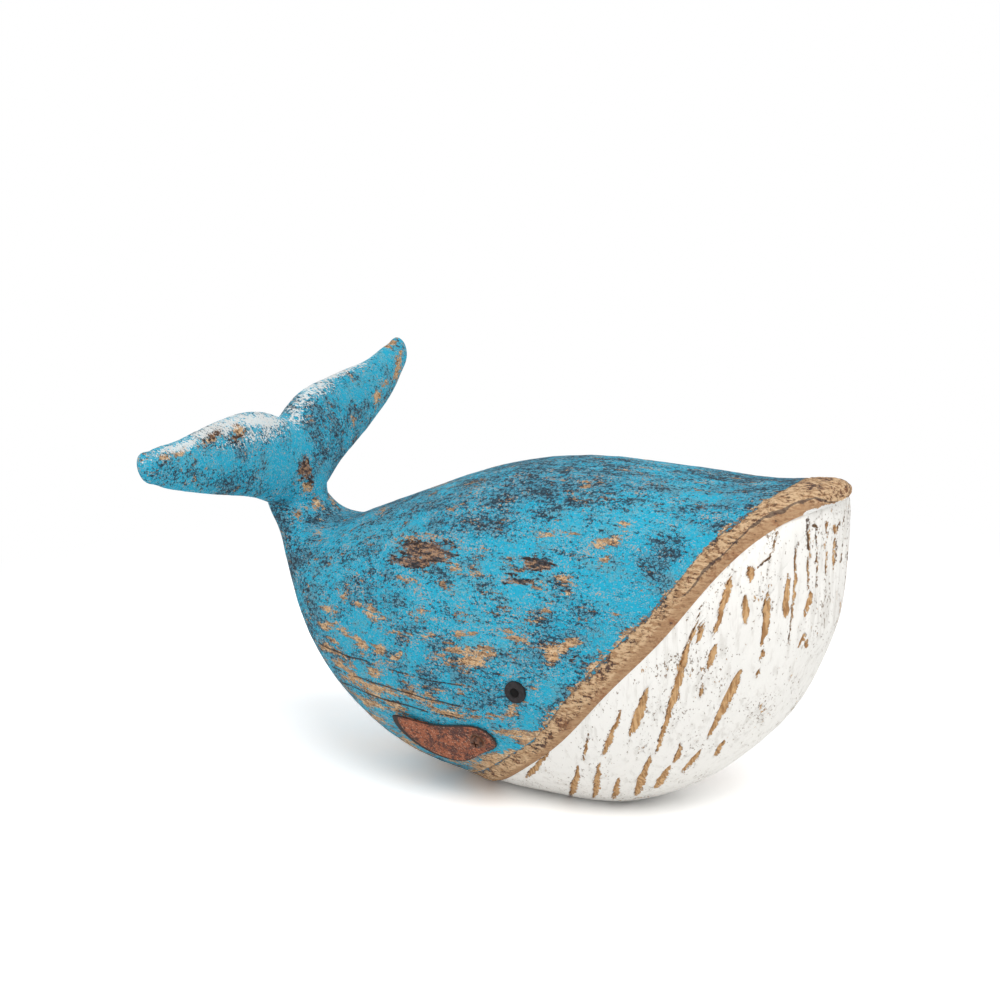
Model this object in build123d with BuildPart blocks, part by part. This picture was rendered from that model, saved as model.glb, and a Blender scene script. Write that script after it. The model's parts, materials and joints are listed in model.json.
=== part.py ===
from build123d import *
import math
import os

os.makedirs("parts", exist_ok=True)

# A carved and painted wooden whale, in millimetres. +X is the snout, +Y the whale's left,
# +Z is up, and the origin is the middle of the flat that it rests on.

# Overall sizes
body_length = 260.0
body_height = 140.0
body_width = 116.0
fluke_span = 196.0
fluke_chord = 40.0
fluke_thickness = 20.0
fluke_lean_deg = 15.0
fluke_tip_sway = 3.6
overrun = 2.0

# Body sections, fanned out from the neck to the bow: crown x, crown z, keel x, keel z,
# half width and crown fullness. The x shares are of body_length, the z shares of
# body_height, the widths of half body_width, and a fullness of 2 is a plain ellipse.
body_section_shares = [
    (-0.480, 0.743, -0.583, 0.714, 0.215, 2.0),
    (-0.460, 0.703, -0.548, 0.643, 0.293, 2.0),
    (-0.427, 0.700, -0.502, 0.493, 0.474, 2.0),
    (-0.377, 0.740, -0.450, 0.321, 0.655, 2.1),
    (-0.288, 0.815, -0.379, 0.171, 0.820, 2.2),
    (-0.165, 0.910, -0.265, 0.046, 0.957, 2.3),
    (-0.027, 0.970, -0.135, 0.001, 1.000, 2.2),
    (0.135, 0.982, -0.019, -0.010, 0.990, 2.3),
    (0.288, 0.986, 0.088, -0.003, 0.914, 2.3),
    (0.400, 1.010, 0.181, 0.061, 0.767, 2.2),
    (0.423, 0.960, 0.269, 0.175, 0.595, 2.0),
    (0.423, 0.860, 0.348, 0.329, 0.414, 1.9),
    (0.421, 0.707, 0.392, 0.500, 0.233, 1.9),
    (0.420, 0.629, 0.410, 0.564, 0.086, 2.0),
    (0.418, 0.604, 0.416, 0.593, 0.017, 2.0),
]
keel_fullness = 2.1
sections_between = 2
points_round_section = 16

# Mouth line, seen from the side: x as a share of body_length, z of body_height
mouth_line_shares = [
    (-0.190, -0.040),
    (-0.082, 0.057),
    (-0.012, 0.146),
    (0.065, 0.261),
    (0.158, 0.450),
    (0.238, 0.614),
    (0.315, 0.810),
    (0.377, 0.927),
    (0.412, 0.962),
    (0.460, 0.972),
]
lip_line_shares = [
    (-0.220, 0.000),
    (-0.104, 0.093),
    (-0.035, 0.182),
    (0.025, 0.268),
    (0.077, 0.386),
    (0.135, 0.514),
    (0.200, 0.650),
    (0.254, 0.779),
    (0.300, 0.907),
    (0.354, 0.996),
    (0.410, 1.090),
]
lip_proud = 1.0
# The lip's nose stands nose_reach forward, shared out over the body sections from the neck
nose_reach = 2.4
nose_reach_shares = [0, 0, 0, 0, 0, 0, 0, 0, 0.1, 0.65, 1, 1, 1, 1, 1]

# Throat pleats
pleat_pitch = 6.4
pleat_width = 1.2
pleat_depth = 1.4
pleats_each_side = 7

# Tail flukes: distance out, centre along the chord, half chord and half thickness. The
# first is a share of half fluke_span, the next two of fluke_chord, the last of half
# fluke_thickness. The chord runs up the leaning blade from the notch between the flukes.
# The left tip stands fluke_tip_sway up the blade from its place, and the right one down.
fluke_section_shares = [
    (0.000, -0.450, 0.438, 1.00),
    (0.120, -0.375, 0.500, 1.00),
    (0.260, -0.262, 0.462, 0.96),
    (0.420, -0.188, 0.398, 0.88),
    (0.590, -0.125, 0.330, 0.76),
    (0.750, -0.050, 0.262, 0.64),
    (0.870, 0.030, 0.215, 0.54),
    (0.945, 0.090, 0.175, 0.45),
    (0.985, 0.125, 0.125, 0.32),
    (1.000, 0.138, 0.055, 0.14),
]
notch_x_share = -0.558
notch_z_share = 0.966
# Stock between neck and flukes: centre along the chord, half thickness, half width
stock_section_shares = [
    (-0.700, 1.12, 0.172),
    (-0.550, 1.05, 0.242),
    (-0.400, 0.92, 0.320),
    (-0.250, 0.70, 0.380),
]

# Eyes: a washer with a round-headed nail in it, let into a shallow seat
eye_x_share = 0.002
eye_z_share = 0.405
eye_ring_radius = 4.6
eye_ring_height = 1.6
eye_ring_edge_radius = 0.5
eye_seat_depth = 0.8
eye_seat_clearance = 0.15
eye_nail_head_radius = 1.9
eye_nail_head_height = 0.8
eye_nail_dome_radius = 0.5
eye_nail_shank_radius = 0.9
eye_nail_shank_length = 11.0
eye_nail_clearance = 0.05
eye_nail_sink = 0.6

# Flippers: a leaf of sheet steel on one screw
flipper_x_share = -0.080
flipper_z_share = 0.224
flipper_length = 47.0
flipper_width = 22.0
flipper_thickness = 1.2
flipper_seat_depth = 0.4
flipper_gap = 0.12
# Outline from the screw: share of flipper_length to the rear, share of flipper_width up
flipper_outline_shares = [
    (-0.185, 0.000),
    (-0.150, 0.190),
    (-0.060, 0.315),
    (0.060, 0.320),
    (0.230, 0.240),
    (0.400, 0.180),
    (0.580, 0.175),
    (0.720, 0.235),
    (0.805, 0.260),
    (0.815, 0.120),
    (0.770, -0.140),
    (0.660, -0.420),
    (0.520, -0.600),
    (0.360, -0.680),
    (0.210, -0.640),
    (0.080, -0.470),
    (-0.060, -0.260),
]

# Flipper screws
screw_head_radius = 2.9
screw_head_height = 1.9
screw_shank_radius = 1.4
screw_shank_length = 13.0
screw_point_length = 3.0
screw_tip_radius = 0.2
screw_running_clearance = 0.08
screw_pilot_clearance = 0.05
screw_head_dome_radius = 1.3
screw_cross_width = 0.8
screw_cross_length = 3.4
screw_cross_depth = 1.1

# Dowels
tail_dowel_radius = 4.0
tail_dowel_length = 26.0
tail_dowel_forward = 2.5
throat_dowel_radius = 5.0
throat_dowel_length = 44.0
# Places along the mouth line, as shares of its length
throat_dowel_line_shares = {"lower": 0.38, "upper": 0.60}
dowel_clearance = 0.05
dowel_end_gap = 0.5
dowel_chamfer = 0.6


def between(before, first, second, after, share):
    """Value on a smooth curve through four neighbours, a share of the way past first."""
    slope_in = (second - before) / 2
    slope_out = (after - first) / 2
    rise = second - first
    bend = rise - slope_in
    return first + slope_in * share + bend * share**2 + (slope_in + slope_out - rise * 2) * (
        share**3 - share**2
    )


def smooth_sections():
    """The section table with more sections laid evenly between its own."""
    last = len(body_section_shares) - 1
    rows = []
    for index in range(last):
        around = [body_section_shares[min(max(index + step, 0), last)] for step in (-1, 0, 1, 2)]
        for step in range(sections_between):
            share = step / sections_between
            rows.append([between(*column, share) for column in zip(*around)])
    rows.append(list(body_section_shares[last]))
    return rows


def section_frames(grow=0.0, reach=0.0):
    """Crown point, keel point, half width and fullness of each body section."""
    rows = smooth_sections()
    crowns = [Vector(row[0] * body_length, 0, row[1] * body_height) for row in rows]
    keels = [Vector(row[2] * body_length, 0, row[3] * body_height) for row in rows]
    frames = []
    last = len(rows) - 1
    for index, row in enumerate(rows):
        before = max(index - 1, 0)
        after = min(index + 1, last)
        crown_run = (crowns[after] - crowns[before]).normalized()
        keel_run = (keels[after] - keels[before]).normalized()
        earlier, later = index // sections_between, -(-index // sections_between)
        forward = (nose_reach_shares[earlier] + nose_reach_shares[later]) / 2 * reach
        crown = crowns[index] + Vector(-crown_run.Z, 0, crown_run.X) * grow + Vector(forward, 0, 0)
        keel = keels[index] + Vector(keel_run.Z, 0, -keel_run.X) * grow + Vector(forward, 0, 0)
        half_width = row[4] * body_width / 2 + grow
        frames.append((crown, keel, half_width, row[5]))
    return frames


def rounded(angle, fullness):
    """Height on a unit superellipse at an angle from its top."""
    height = math.cos(angle)
    return math.copysign(abs(height) ** (2 / fullness), height)


def section_plane(crown, keel):
    """Plane of a section, with its own x across the whale and its own y from keel to crown."""
    rise = (crown - keel).normalized()
    return Plane(origin=(crown + keel) / 2, x_dir=(0, 1, 0), z_dir=(rise.Z, 0, -rise.X))


def section_points(half_height, half_width, crown_fullness, lower_fullness):
    """Points round a section, from its top."""
    points = []
    for step in range(points_round_section):
        angle = 2 * math.pi * step / points_round_section
        fullness = crown_fullness if math.cos(angle) > 0 else lower_fullness
        across = half_width * rounded(angle - math.pi / 2, fullness)
        points.append((across, half_height * rounded(angle, fullness)))
    return points


def section_edge(half_height, half_width, crown_fullness, lower_fullness):
    """Smooth closed curve round a section, spaced alike in all sections to keep lofts light."""
    points = section_points(half_height, half_width, crown_fullness, lower_fullness)
    spacing = [step / len(points) for step in range(len(points) + 1)]
    return Edge.make_spline([Vector(*point) for point in points], periodic=True, parameters=spacing)


def body_form(grow=0.0, reach=0.0):
    """The whole egg of the body, every surface moved out by grow and its nose by reach."""
    with BuildPart() as form:
        for crown, keel, half_width, fullness in section_frames(grow, reach):
            with BuildSketch(section_plane(crown, keel)):
                with BuildLine():
                    half_height = (crown - keel).length / 2
                    add(section_edge(half_height, half_width, fullness, keel_fullness))
                make_face()
        loft()
    return form.part


def side_points(shares):
    """Points of a side-view line, in the plane of symmetry."""
    return [(x * body_length, z * body_height) for x, z in shares]


def side_block(line_shares, below):
    """Everything above or below a line drawn in the side view."""
    points = side_points(line_shares)
    reach = body_length + overrun
    level = -reach if below else reach
    with BuildPart() as block:
        with BuildSketch(Plane.XZ):
            with BuildLine():
                Spline(*points)
                Polyline(points[-1], (reach, points[-1][1]), (reach, level), (-reach, level),
                         (-reach, points[0][1]), points[0])
            make_face()
        extrude(amount=body_width, both=True)
    return block.part


def surface_seat(form, x_share, z_share, side):
    """Point and outward direction where a line across the whale leaves its side."""
    start = (x_share * body_length, 0, z_share * body_height)
    hits = form.find_intersection_points(Axis(start, (0, side, 0)))
    point, normal = max(hits, key=lambda hit: hit[0].Y * side)
    if normal.Y * side < 0:
        normal = -normal
    return point, normal


def seat_plane(point, normal, depth):
    """Plane of a seat cut depth below the surface, its own y pointing up the body."""
    rear = Vector(-1, 0, 0)
    rear = (rear - normal * rear.dot(normal)).normalized()
    return Plane(origin=point - normal * depth, x_dir=rear, z_dir=normal)


plain_form = body_form()
lip_form = body_form(lip_proud, nose_reach)
pleat_floor_form = body_form(-pleat_depth)
sides = {"right": -1, "left": 1}
eye_seats = {}
flipper_seats = {}
for side_name, side in sides.items():
    point, normal = surface_seat(plain_form, eye_x_share, eye_z_share, side)
    eye_seats[side_name] = seat_plane(point, normal, eye_seat_depth)
    point, normal = surface_seat(plain_form, flipper_x_share, flipper_z_share, side)
    flipper_seats[side_name] = seat_plane(point, normal, flipper_seat_depth)

neck_crown, neck_keel, neck_half_width, neck_fullness = section_frames()[0]
neck_plane = section_plane(neck_crown, neck_keel)
tail_dowel_plane = Plane(
    origin=neck_plane.origin + neck_plane.y_dir * tail_dowel_forward,
    x_dir=neck_plane.x_dir,
    z_dir=neck_plane.z_dir,
)
mouth_edge = Plane.XZ * Spline(*side_points(mouth_line_shares))
throat_dowel_planes = {}
for place, share in throat_dowel_line_shares.items():
    throat_dowel_planes[place] = Plane(
        origin=mouth_edge @ share, x_dir=(0, 1, 0), z_dir=Vector(0, 1, 0).cross(mouth_edge % share)
    )


def rest_cut():
    """Everything below the surface that the whale rests on."""
    with BuildPart() as cut:
        with BuildSketch(Plane.XY):
            Rectangle(2 * body_length, 2 * body_width)
        extrude(amount=-body_height)
    return cut.part


def dowel(plane, radius, length):
    """A round dowel with chamfered ends, half to each side of a joint."""
    with BuildPart() as peg:
        with BuildSketch(plane.offset(-length / 2)):
            Circle(radius)
        extrude(amount=length)
        chamfer(peg.faces().filter_by(GeomType.PLANE).edges(), dowel_chamfer)
    return peg.part


def dowel_hole(plane, radius, length):
    """The hole for a dowel, in all the blocks that it passes through."""
    with BuildPart() as hole:
        with BuildSketch(plane.offset(-length / 2 - dowel_end_gap)):
            Circle(radius + dowel_clearance)
        extrude(amount=length + 2 * dowel_end_gap)
    return hole.part


def round_hole(plane, radius, depth, above=0.0):
    """A round hole going depth below a plane and above it by above."""
    with BuildPart() as hole:
        with BuildSketch(plane.offset(-depth)):
            Circle(radius)
        extrude(amount=depth + above)
    return hole.part


def neck_clearing(upward):
    """Everything close to the neck joint on its upper or lower side."""
    reach = (neck_crown - neck_keel).length
    with BuildPart() as clearing:
        with BuildSketch(neck_plane):
            Circle(reach)
        extrude(amount=-reach if upward else reach)
    return clearing.part


def flipper_relief(plane):
    """The wood planed off flat behind a flipper."""
    with BuildPart() as relief:
        with BuildSketch(plane):
            Circle(flipper_length / 2)
        extrude(amount=flipper_length / 2)
    return relief.part


tail_hole = dowel_hole(tail_dowel_plane, tail_dowel_radius, tail_dowel_length)
throat_holes = [
    dowel_hole(plane, throat_dowel_radius, throat_dowel_length)
    for plane in throat_dowel_planes.values()
]
floor_cut = rest_cut()

# Back block, with the seats of the eyes and flippers
with BuildPart() as back_block:
    add(plain_form)
    add(side_block(lip_line_shares, below=True), mode=Mode.SUBTRACT)
    add(neck_clearing(upward=True), mode=Mode.SUBTRACT)
    add(floor_cut, mode=Mode.SUBTRACT)
    add(tail_hole, mode=Mode.SUBTRACT)
    for hole in throat_holes:
        add(hole, mode=Mode.SUBTRACT)
    for side_name in sides:
        eye_seat = eye_seats[side_name]
        add(round_hole(eye_seat, eye_ring_radius + eye_seat_clearance, 0, eye_ring_radius),
            mode=Mode.SUBTRACT)
        add(round_hole(eye_seat, eye_nail_shank_radius + eye_nail_clearance,
                       eye_nail_shank_length), mode=Mode.SUBTRACT)
        flipper_seat = flipper_seats[side_name]
        add(flipper_relief(flipper_seat), mode=Mode.SUBTRACT)
        add(round_hole(flipper_seat, screw_shank_radius + screw_pilot_clearance,
                       screw_shank_length), mode=Mode.SUBTRACT)

# Lip board, the bare wood between the painted back and the throat
with BuildPart() as lip_board:
    add(lip_form)
    add(side_block(lip_line_shares, below=False), mode=Mode.SUBTRACT)
    add(side_block(mouth_line_shares, below=True), mode=Mode.SUBTRACT)
    add(floor_cut, mode=Mode.SUBTRACT)
    for hole in throat_holes:
        add(hole, mode=Mode.SUBTRACT)

# Pleats of the throat, before their floor is left standing
with BuildPart() as pleat_cuts:
    with GridLocations(body_length, pleat_pitch, 1, 2 * pleats_each_side):
        Box(2 * body_length, pleat_width, 2 * body_height)
    add(pleat_floor_form, mode=Mode.SUBTRACT)

# Throat block
with BuildPart() as throat_block:
    add(plain_form)
    add(side_block(mouth_line_shares, below=False), mode=Mode.SUBTRACT)
    add(floor_cut, mode=Mode.SUBTRACT)
    add(pleat_cuts.part, mode=Mode.SUBTRACT)
    for hole in throat_holes:
        add(hole, mode=Mode.SUBTRACT)

# Tail, carved in one piece: the stock, then a fluke each side
lean = math.radians(fluke_lean_deg)
blade_up = Vector(-math.sin(lean), 0, math.cos(lean))
blade_front = Vector(math.cos(lean), 0, math.sin(lean))
notch = Vector(notch_x_share * body_length, 0, notch_z_share * body_height)

with BuildPart() as stock:
    with BuildSketch(neck_plane):
        with BuildLine():
            half_height = (neck_crown - neck_keel).length / 2
            add(section_edge(half_height, neck_half_width, neck_fullness, keel_fullness))
        make_face()
    for along, thick, wide in stock_section_shares:
        section_origin = notch + blade_up * (along * fluke_chord)
        with BuildSketch(Plane(origin=section_origin, x_dir=(0, 1, 0), z_dir=-blade_up)):
            with BuildLine():
                add(section_edge(thick * fluke_thickness / 2, wide * fluke_span / 2, 2, 2))
            make_face()
    loft()


def fluke(side):
    """One fluke, a loft from the middle out to its tip."""
    with BuildPart() as blade:
        for out, along, half_chord, thick in fluke_section_shares:
            raised = along * fluke_chord + side * out**3 * fluke_tip_sway
            section_origin = notch + blade_up * raised + Vector(0, side * out * fluke_span / 2, 0)
            with BuildSketch(Plane(origin=section_origin, x_dir=blade_front, z_dir=(0, -1, 0))):
                with BuildLine():
                    add(section_edge(half_chord * fluke_chord, thick * fluke_thickness / 2, 2, 2))
                make_face()
        loft()
    return blade.part


with BuildPart() as tail:
    add(stock.part)
    for side in sides.values():
        add(fluke(side))
    add(neck_clearing(upward=False), mode=Mode.SUBTRACT)
    add(tail_hole, mode=Mode.SUBTRACT)

tail_dowel = dowel(tail_dowel_plane, tail_dowel_radius, tail_dowel_length)

finished = {
    "back_block": back_block.part,
    "lip_board": lip_board.part,
    "throat_block": throat_block.part,
    "tail": tail.part,
    "tail_dowel": tail_dowel,
}
for place, plane in throat_dowel_planes.items():
    finished[f"throat_dowel_{place}"] = dowel(plane, throat_dowel_radius, throat_dowel_length)

for side_name, side in sides.items():
    eye_seat = eye_seats[side_name]
    nail_plane = eye_seat.offset(eye_ring_height - eye_nail_sink)
    with BuildPart() as eye_ring:
        with BuildSketch(eye_seat):
            Circle(eye_ring_radius)
        extrude(amount=eye_ring_height)
        rim = eye_ring.faces().sort_by(Axis(eye_seat.origin, eye_seat.z_dir))[-1]
        fillet(rim.edges(), eye_ring_edge_radius)
        add(round_hole(eye_seat, eye_nail_shank_radius + eye_nail_clearance, overrun, overrun),
            mode=Mode.SUBTRACT)
        add(round_hole(nail_plane, eye_nail_head_radius + eye_nail_clearance, 0, overrun),
            mode=Mode.SUBTRACT)
    with BuildPart() as eye_nail:
        with BuildSketch(nail_plane):
            Circle(eye_nail_head_radius)
        extrude(amount=eye_nail_head_height)
        dome = eye_nail.faces().sort_by(Axis(nail_plane.origin, nail_plane.z_dir))[-1]
        fillet(dome.edges(), eye_nail_dome_radius)
        with BuildSketch(nail_plane):
            Circle(eye_nail_shank_radius)
        extrude(amount=-eye_nail_shank_length)
    flipper_plane = flipper_seats[side_name].offset(flipper_gap)
    with BuildPart() as flipper:
        with BuildSketch(flipper_plane):
            with BuildLine():
                outline = [
                    (rearward * flipper_length, side * upward * flipper_width)
                    for rearward, upward in flipper_outline_shares
                ]
                Spline(*outline, periodic=True)
            make_face()
            Circle(screw_shank_radius + screw_running_clearance, mode=Mode.SUBTRACT)
        extrude(amount=flipper_thickness)
    head_plane = flipper_plane.offset(flipper_thickness + flipper_gap)
    with BuildPart() as screw:
        with BuildSketch(head_plane):
            Circle(screw_head_radius)
        extrude(amount=screw_head_height)
        crown = screw.faces().sort_by(Axis(head_plane.origin, head_plane.z_dir))[-1]
        fillet(crown.edges(), screw_head_dome_radius)
        with BuildSketch(head_plane.offset(screw_head_height)):
            Rectangle(screw_cross_length, screw_cross_width)
            Rectangle(screw_cross_width, screw_cross_length)
        extrude(amount=-screw_cross_depth, mode=Mode.SUBTRACT)
        with BuildSketch(head_plane):
            Circle(screw_shank_radius)
        extrude(amount=screw_point_length - screw_shank_length)
        with BuildSketch(head_plane.offset(screw_point_length - screw_shank_length)):
            Circle(screw_shank_radius)
        with BuildSketch(head_plane.offset(-screw_shank_length)):
            Circle(screw_tip_radius)
        loft()
    finished[f"eye_ring_{side_name}"] = eye_ring.part
    finished[f"eye_nail_{side_name}"] = eye_nail.part
    finished[f"flipper_{side_name}"] = flipper.part
    finished[f"flipper_screw_{side_name}"] = screw.part

for name, piece in finished.items():
    piece.label = name
    export_step(piece, f"parts/{name}.step")
print("flipper seats", [(plane.origin, plane.z_dir) for plane in flipper_seats.values()])
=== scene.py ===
"""A carved and painted wooden whale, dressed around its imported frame.

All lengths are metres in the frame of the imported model: +X is the snout, +Y the whale's
left, +Z is up, and the origin is the middle of the flat that the whale rests on.
"""

import json
import logging
import math
from dataclasses import dataclass, replace
from enum import Enum
from typing import ClassVar

import bmesh
import bpy
import numpy as np
from mathutils import Matrix, Vector


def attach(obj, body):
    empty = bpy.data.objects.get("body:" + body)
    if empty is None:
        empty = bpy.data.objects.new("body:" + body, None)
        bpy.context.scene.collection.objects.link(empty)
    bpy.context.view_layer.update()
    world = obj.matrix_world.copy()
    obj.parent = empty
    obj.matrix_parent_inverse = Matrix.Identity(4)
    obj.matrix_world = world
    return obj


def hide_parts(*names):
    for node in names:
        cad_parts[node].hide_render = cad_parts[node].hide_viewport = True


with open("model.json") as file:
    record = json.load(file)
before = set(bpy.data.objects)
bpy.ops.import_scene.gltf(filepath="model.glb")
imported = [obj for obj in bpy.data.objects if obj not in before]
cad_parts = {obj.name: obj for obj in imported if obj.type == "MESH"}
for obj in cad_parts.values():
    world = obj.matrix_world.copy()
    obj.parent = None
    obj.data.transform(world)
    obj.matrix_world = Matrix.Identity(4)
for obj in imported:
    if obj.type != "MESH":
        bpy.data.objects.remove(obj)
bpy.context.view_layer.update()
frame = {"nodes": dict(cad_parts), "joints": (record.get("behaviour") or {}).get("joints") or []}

MM = 0.001
LOG = logging.getLogger("whale")

Colour = tuple[float, float, float, float]
Socket = bpy.types.NodeSocket
Finish = bpy.types.Material
Piece = bpy.types.Object
Pair = tuple[float, float]
Shares = tuple[tuple[float, ...], ...]


class Side(Enum):
    """The two sides of the whale, by the sign of their Y."""

    RIGHT = -1
    LEFT = 1

    @property
    def label(self) -> str:
        """The side's word in the names of nodes and bodies."""
        return self.name.lower()


class Field(Enum):
    """Values kept on the vertices, which the finishes read."""

    WOOD = "worn_to_wood"
    # dark grime, and painted shade along the top of the back, on the near fluke's lower part and along the
    # flipper's edge
    DARK = "dark_grime"
    CLEAN = "clean_paint"
    # greyer paint, and painted shade, where the surface faces up
    DUST = "dusty_ridge"
    KNOT = "knot_stain"
    LINE = "open_grain"
    WHITE = "white_brushed"
    EDGE = "rubbed_edge"
    GASH = "gash_reach"
    DIRT = "gash_wall"
    BAND = "lip_band"
    CREASE = "lip_crease"


Fields = dict[Field, np.ndarray]


def colour(red: int, green: int, blue: int) -> Colour:
    """A screen colour as the linear one that a shader takes.

    Args:
        red, green, blue: Parts from 0 to 255.

    Returns:
        Red, green, blue and a full alpha.
    """
    parts = []
    for part in (red, green, blue):
        share = part / 255
        parts.append(share / 12.92 if share <= 0.04045 else ((share + 0.055) / 1.055) ** 2.4)
    return (*parts, 1.0)


def unit(vectors: np.ndarray) -> np.ndarray:
    """Vectors of length one along the last axis."""
    return vectors / np.maximum(np.linalg.norm(vectors, axis=-1, keepdims=True), 1e-12)


def smooth_step(values: np.ndarray, low: float, high: float) -> np.ndarray:
    """An eased step: 0 below low, 1 above high, and 3t^2 - 2t^3 between them."""
    share = np.clip((values - low) / (high - low), 0, 1)
    return share * share * (3 - 2 * share)


def bell(values: np.ndarray, width: float) -> np.ndarray:
    """A bell over zero: exp(-(value / width)^2)."""
    return np.exp(-((values / width) ** 2))


def added(steps: np.ndarray, axis: int = 0) -> np.ndarray:
    """Steps added up along an axis, from zero."""
    return np.insert(np.cumsum(steps, axis=axis), 0, 0, axis=axis)


def step_lengths(points: np.ndarray, axis: int = 0) -> np.ndarray:
    """Distances between points that follow each other along an axis."""
    return np.linalg.norm(np.diff(points, axis=axis), axis=-1)


def through(knots: np.ndarray, values: np.ndarray, at: np.ndarray) -> np.ndarray:
    """A natural cubic through rows of values.

    On each span the curve is the cubic whose bends at the knots make the slopes of
    neighbouring spans agree, with no bend at either end.

    Args:
        knots: Rising places of the rows.
        values: One row for each knot.
        at: Places to read.

    Returns:
        A row for each place.
    """
    step = np.diff(knots)
    count = len(knots)
    matrix = np.eye(count)
    inner = np.arange(1, count - 1)
    matrix[inner, inner - 1] = step[:-1]
    matrix[inner, inner] = 2 * (step[:-1] + step[1:])
    matrix[inner, inner + 1] = step[1:]
    right = np.zeros_like(values)
    slopes = np.diff(values, axis=0) / step[:, None]
    right[1:-1] = 6 * np.diff(slopes, axis=0)
    bends = np.linalg.solve(matrix, right)
    span = np.clip(np.searchsorted(knots, at, "right") - 1, 0, count - 2)
    width = step[span][:, None]
    past = (at - knots[span])[:, None]
    left = width - past
    return (
        (bends[span] * left**3 + bends[span + 1] * past**3) / (6 * width)
        + (values[span] / width - bends[span] * width / 6) * left
        + (values[span + 1] / width - bends[span + 1] * width / 6) * past
    )


@dataclass(frozen=True)
class LatticeNoise:
    """Smooth noise, read from a repeating block of seeded numbers between -1 and 1.

    The value at a point is the height times the eased mean of the eight lattice values
    round it. The grain is the size of a lattice step, the same each way or along x, y and z.
    """

    seed: int
    grain: float | tuple[float, float, float]
    height: float = 1.0
    steps: ClassVar[int] = 64

    def at(self, points: np.ndarray) -> np.ndarray:
        """Reads the noise.

        Args:
            points: Points, the last axis holding x, y and z.

        Returns:
            A value for each point.
        """
        block = np.random.default_rng(self.seed).uniform(-1, 1, (self.steps,) * 3)
        place = points / np.asarray(self.grain)
        base = np.floor(place).astype(int)
        share = place - base
        share = share * share * (3 - 2 * share)
        total = np.zeros(points.shape[:-1])
        for corner in range(8):
            step = np.array([corner & 1, corner >> 1 & 1, corner >> 2 & 1])
            index = (base + step) % self.steps
            weight = np.prod(np.where(step == 1, share, 1 - share), axis=-1)
            total += weight * block[index[..., 0], index[..., 1], index[..., 2]]
        return self.height * total


def link_object(name: str, data: bpy.types.ID) -> bpy.types.Object:
    """A new object of the scene, at the origin.

    Args:
        name: Its name.
        data: The mesh, or the lamp's or camera's data.

    Returns:
        The object.
    """
    made = bpy.data.objects.new(name, data)
    bpy.context.scene.collection.objects.link(made)
    return made


@dataclass(frozen=True)
class Photograph:
    """The camera that took the photograph, matched to the whale's sizes."""

    azimuth: float = math.radians(29.58)
    elevation: float = math.radians(17.60)
    distance: float = 1.600
    pivot_height: float = 0.0728
    metres_per_pixel: float = 0.4 * MM
    pivot_pixel: Pair = (586.8, 613.9)
    frame_pixels: int = 1000
    sensor: float = 36.0
    clip_range: Pair = (0.05, 50.0)
    mirror_blend: float = 20 * MM

    def axes(self) -> tuple[np.ndarray, np.ndarray, np.ndarray]:
        """The camera's right, up and backward directions."""
        turned, raised = self.azimuth, self.elevation
        right = np.array([math.cos(turned), math.sin(turned), 0])
        away = np.array([math.sin(turned), -math.cos(turned), 0])
        high = np.array([0, 0, 1])
        up = high * math.cos(raised) - away * math.sin(raised)
        back = away * math.cos(raised) + high * math.sin(raised)
        return right, up, back

    def pixels(self, points: np.ndarray) -> np.ndarray:
        """Where points fall in the photograph.

        A point's offset from the pivot, across and up, is scaled by the distance over
        its depth.

        Args:
            points: Points in metres.

        Returns:
            Pixel across and pixel down for each point.
        """
        right, up, back = self.axes()
        offset = points - np.array([0, 0, self.pivot_height])
        scale = self.distance / (self.distance - offset @ back) / self.metres_per_pixel
        across = self.pivot_pixel[0] + offset @ right * scale
        down = self.pivot_pixel[1] - offset @ up * scale
        return np.stack([across, down], -1)

    def near_pixels(self, points: np.ndarray, far_shift: float) -> np.ndarray:
        """Pixels of points, those of the far side read at their mirror image.

        Args:
            points: Points in metres.
            far_shift: How far the far side's marks are shifted forward.

        Returns:
            Pixel across and pixel down for each point.
        """
        mirrored = points.copy()
        mirrored[..., 0] -= far_shift * smooth_step(points[..., 1], 0.0, self.mirror_blend)
        mirrored[..., 1] = -np.abs(points[..., 1])
        return self.pixels(mirrored)

    def make_camera(self) -> None:
        """Sets up the scene's camera, shifted as the photograph was framed."""
        data = bpy.data.cameras.new("photo_camera")
        data.sensor_width = self.sensor
        data.lens = self.sensor * self.distance / (self.frame_pixels * self.metres_per_pixel)
        half = self.frame_pixels / 2
        data.shift_x = (half - self.pivot_pixel[0]) / self.frame_pixels
        data.shift_y = (self.pivot_pixel[1] - half) / self.frame_pixels
        data.clip_start, data.clip_end = self.clip_range
        turn = np.eye(4)
        turn[:3, :3] = np.stack(self.axes(), -1)
        turn[:3, 3] = np.array([0, 0, self.pivot_height]) + turn[:3, 2] * self.distance
        camera = link_object("photo_camera", data)
        camera.matrix_world = Matrix(turn.tolist())
        bpy.context.scene.camera = camera


@dataclass(frozen=True)
class Mark:
    """A soft oval patch, placed on the photograph, in pixels."""

    across: float
    down: float
    half_width: float
    half_height: float
    tilt_deg: float = 0.0
    amount: float = 1.0

    def strength(self, pixels: np.ndarray) -> np.ndarray:
        """The patch's strength: amount times exp(-d^2), where d is 1 on the oval.

        Args:
            pixels: Points in the photograph's pixels.

        Returns:
            A value for each point.
        """
        turn = math.radians(self.tilt_deg)
        x = pixels[..., 0] - self.across
        y = pixels[..., 1] - self.down
        along = (x * math.cos(turn) + y * math.sin(turn)) / self.half_width
        off = (y * math.cos(turn) - x * math.sin(turn)) / self.half_height
        return self.amount * np.exp(-(along**2 + off**2))


def marks(*rows: tuple[float, ...]) -> tuple[Mark, ...]:
    """Patches from rows of across, down, half width, half height, tilt and amount."""
    return tuple(Mark(*row) for row in rows)


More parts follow.
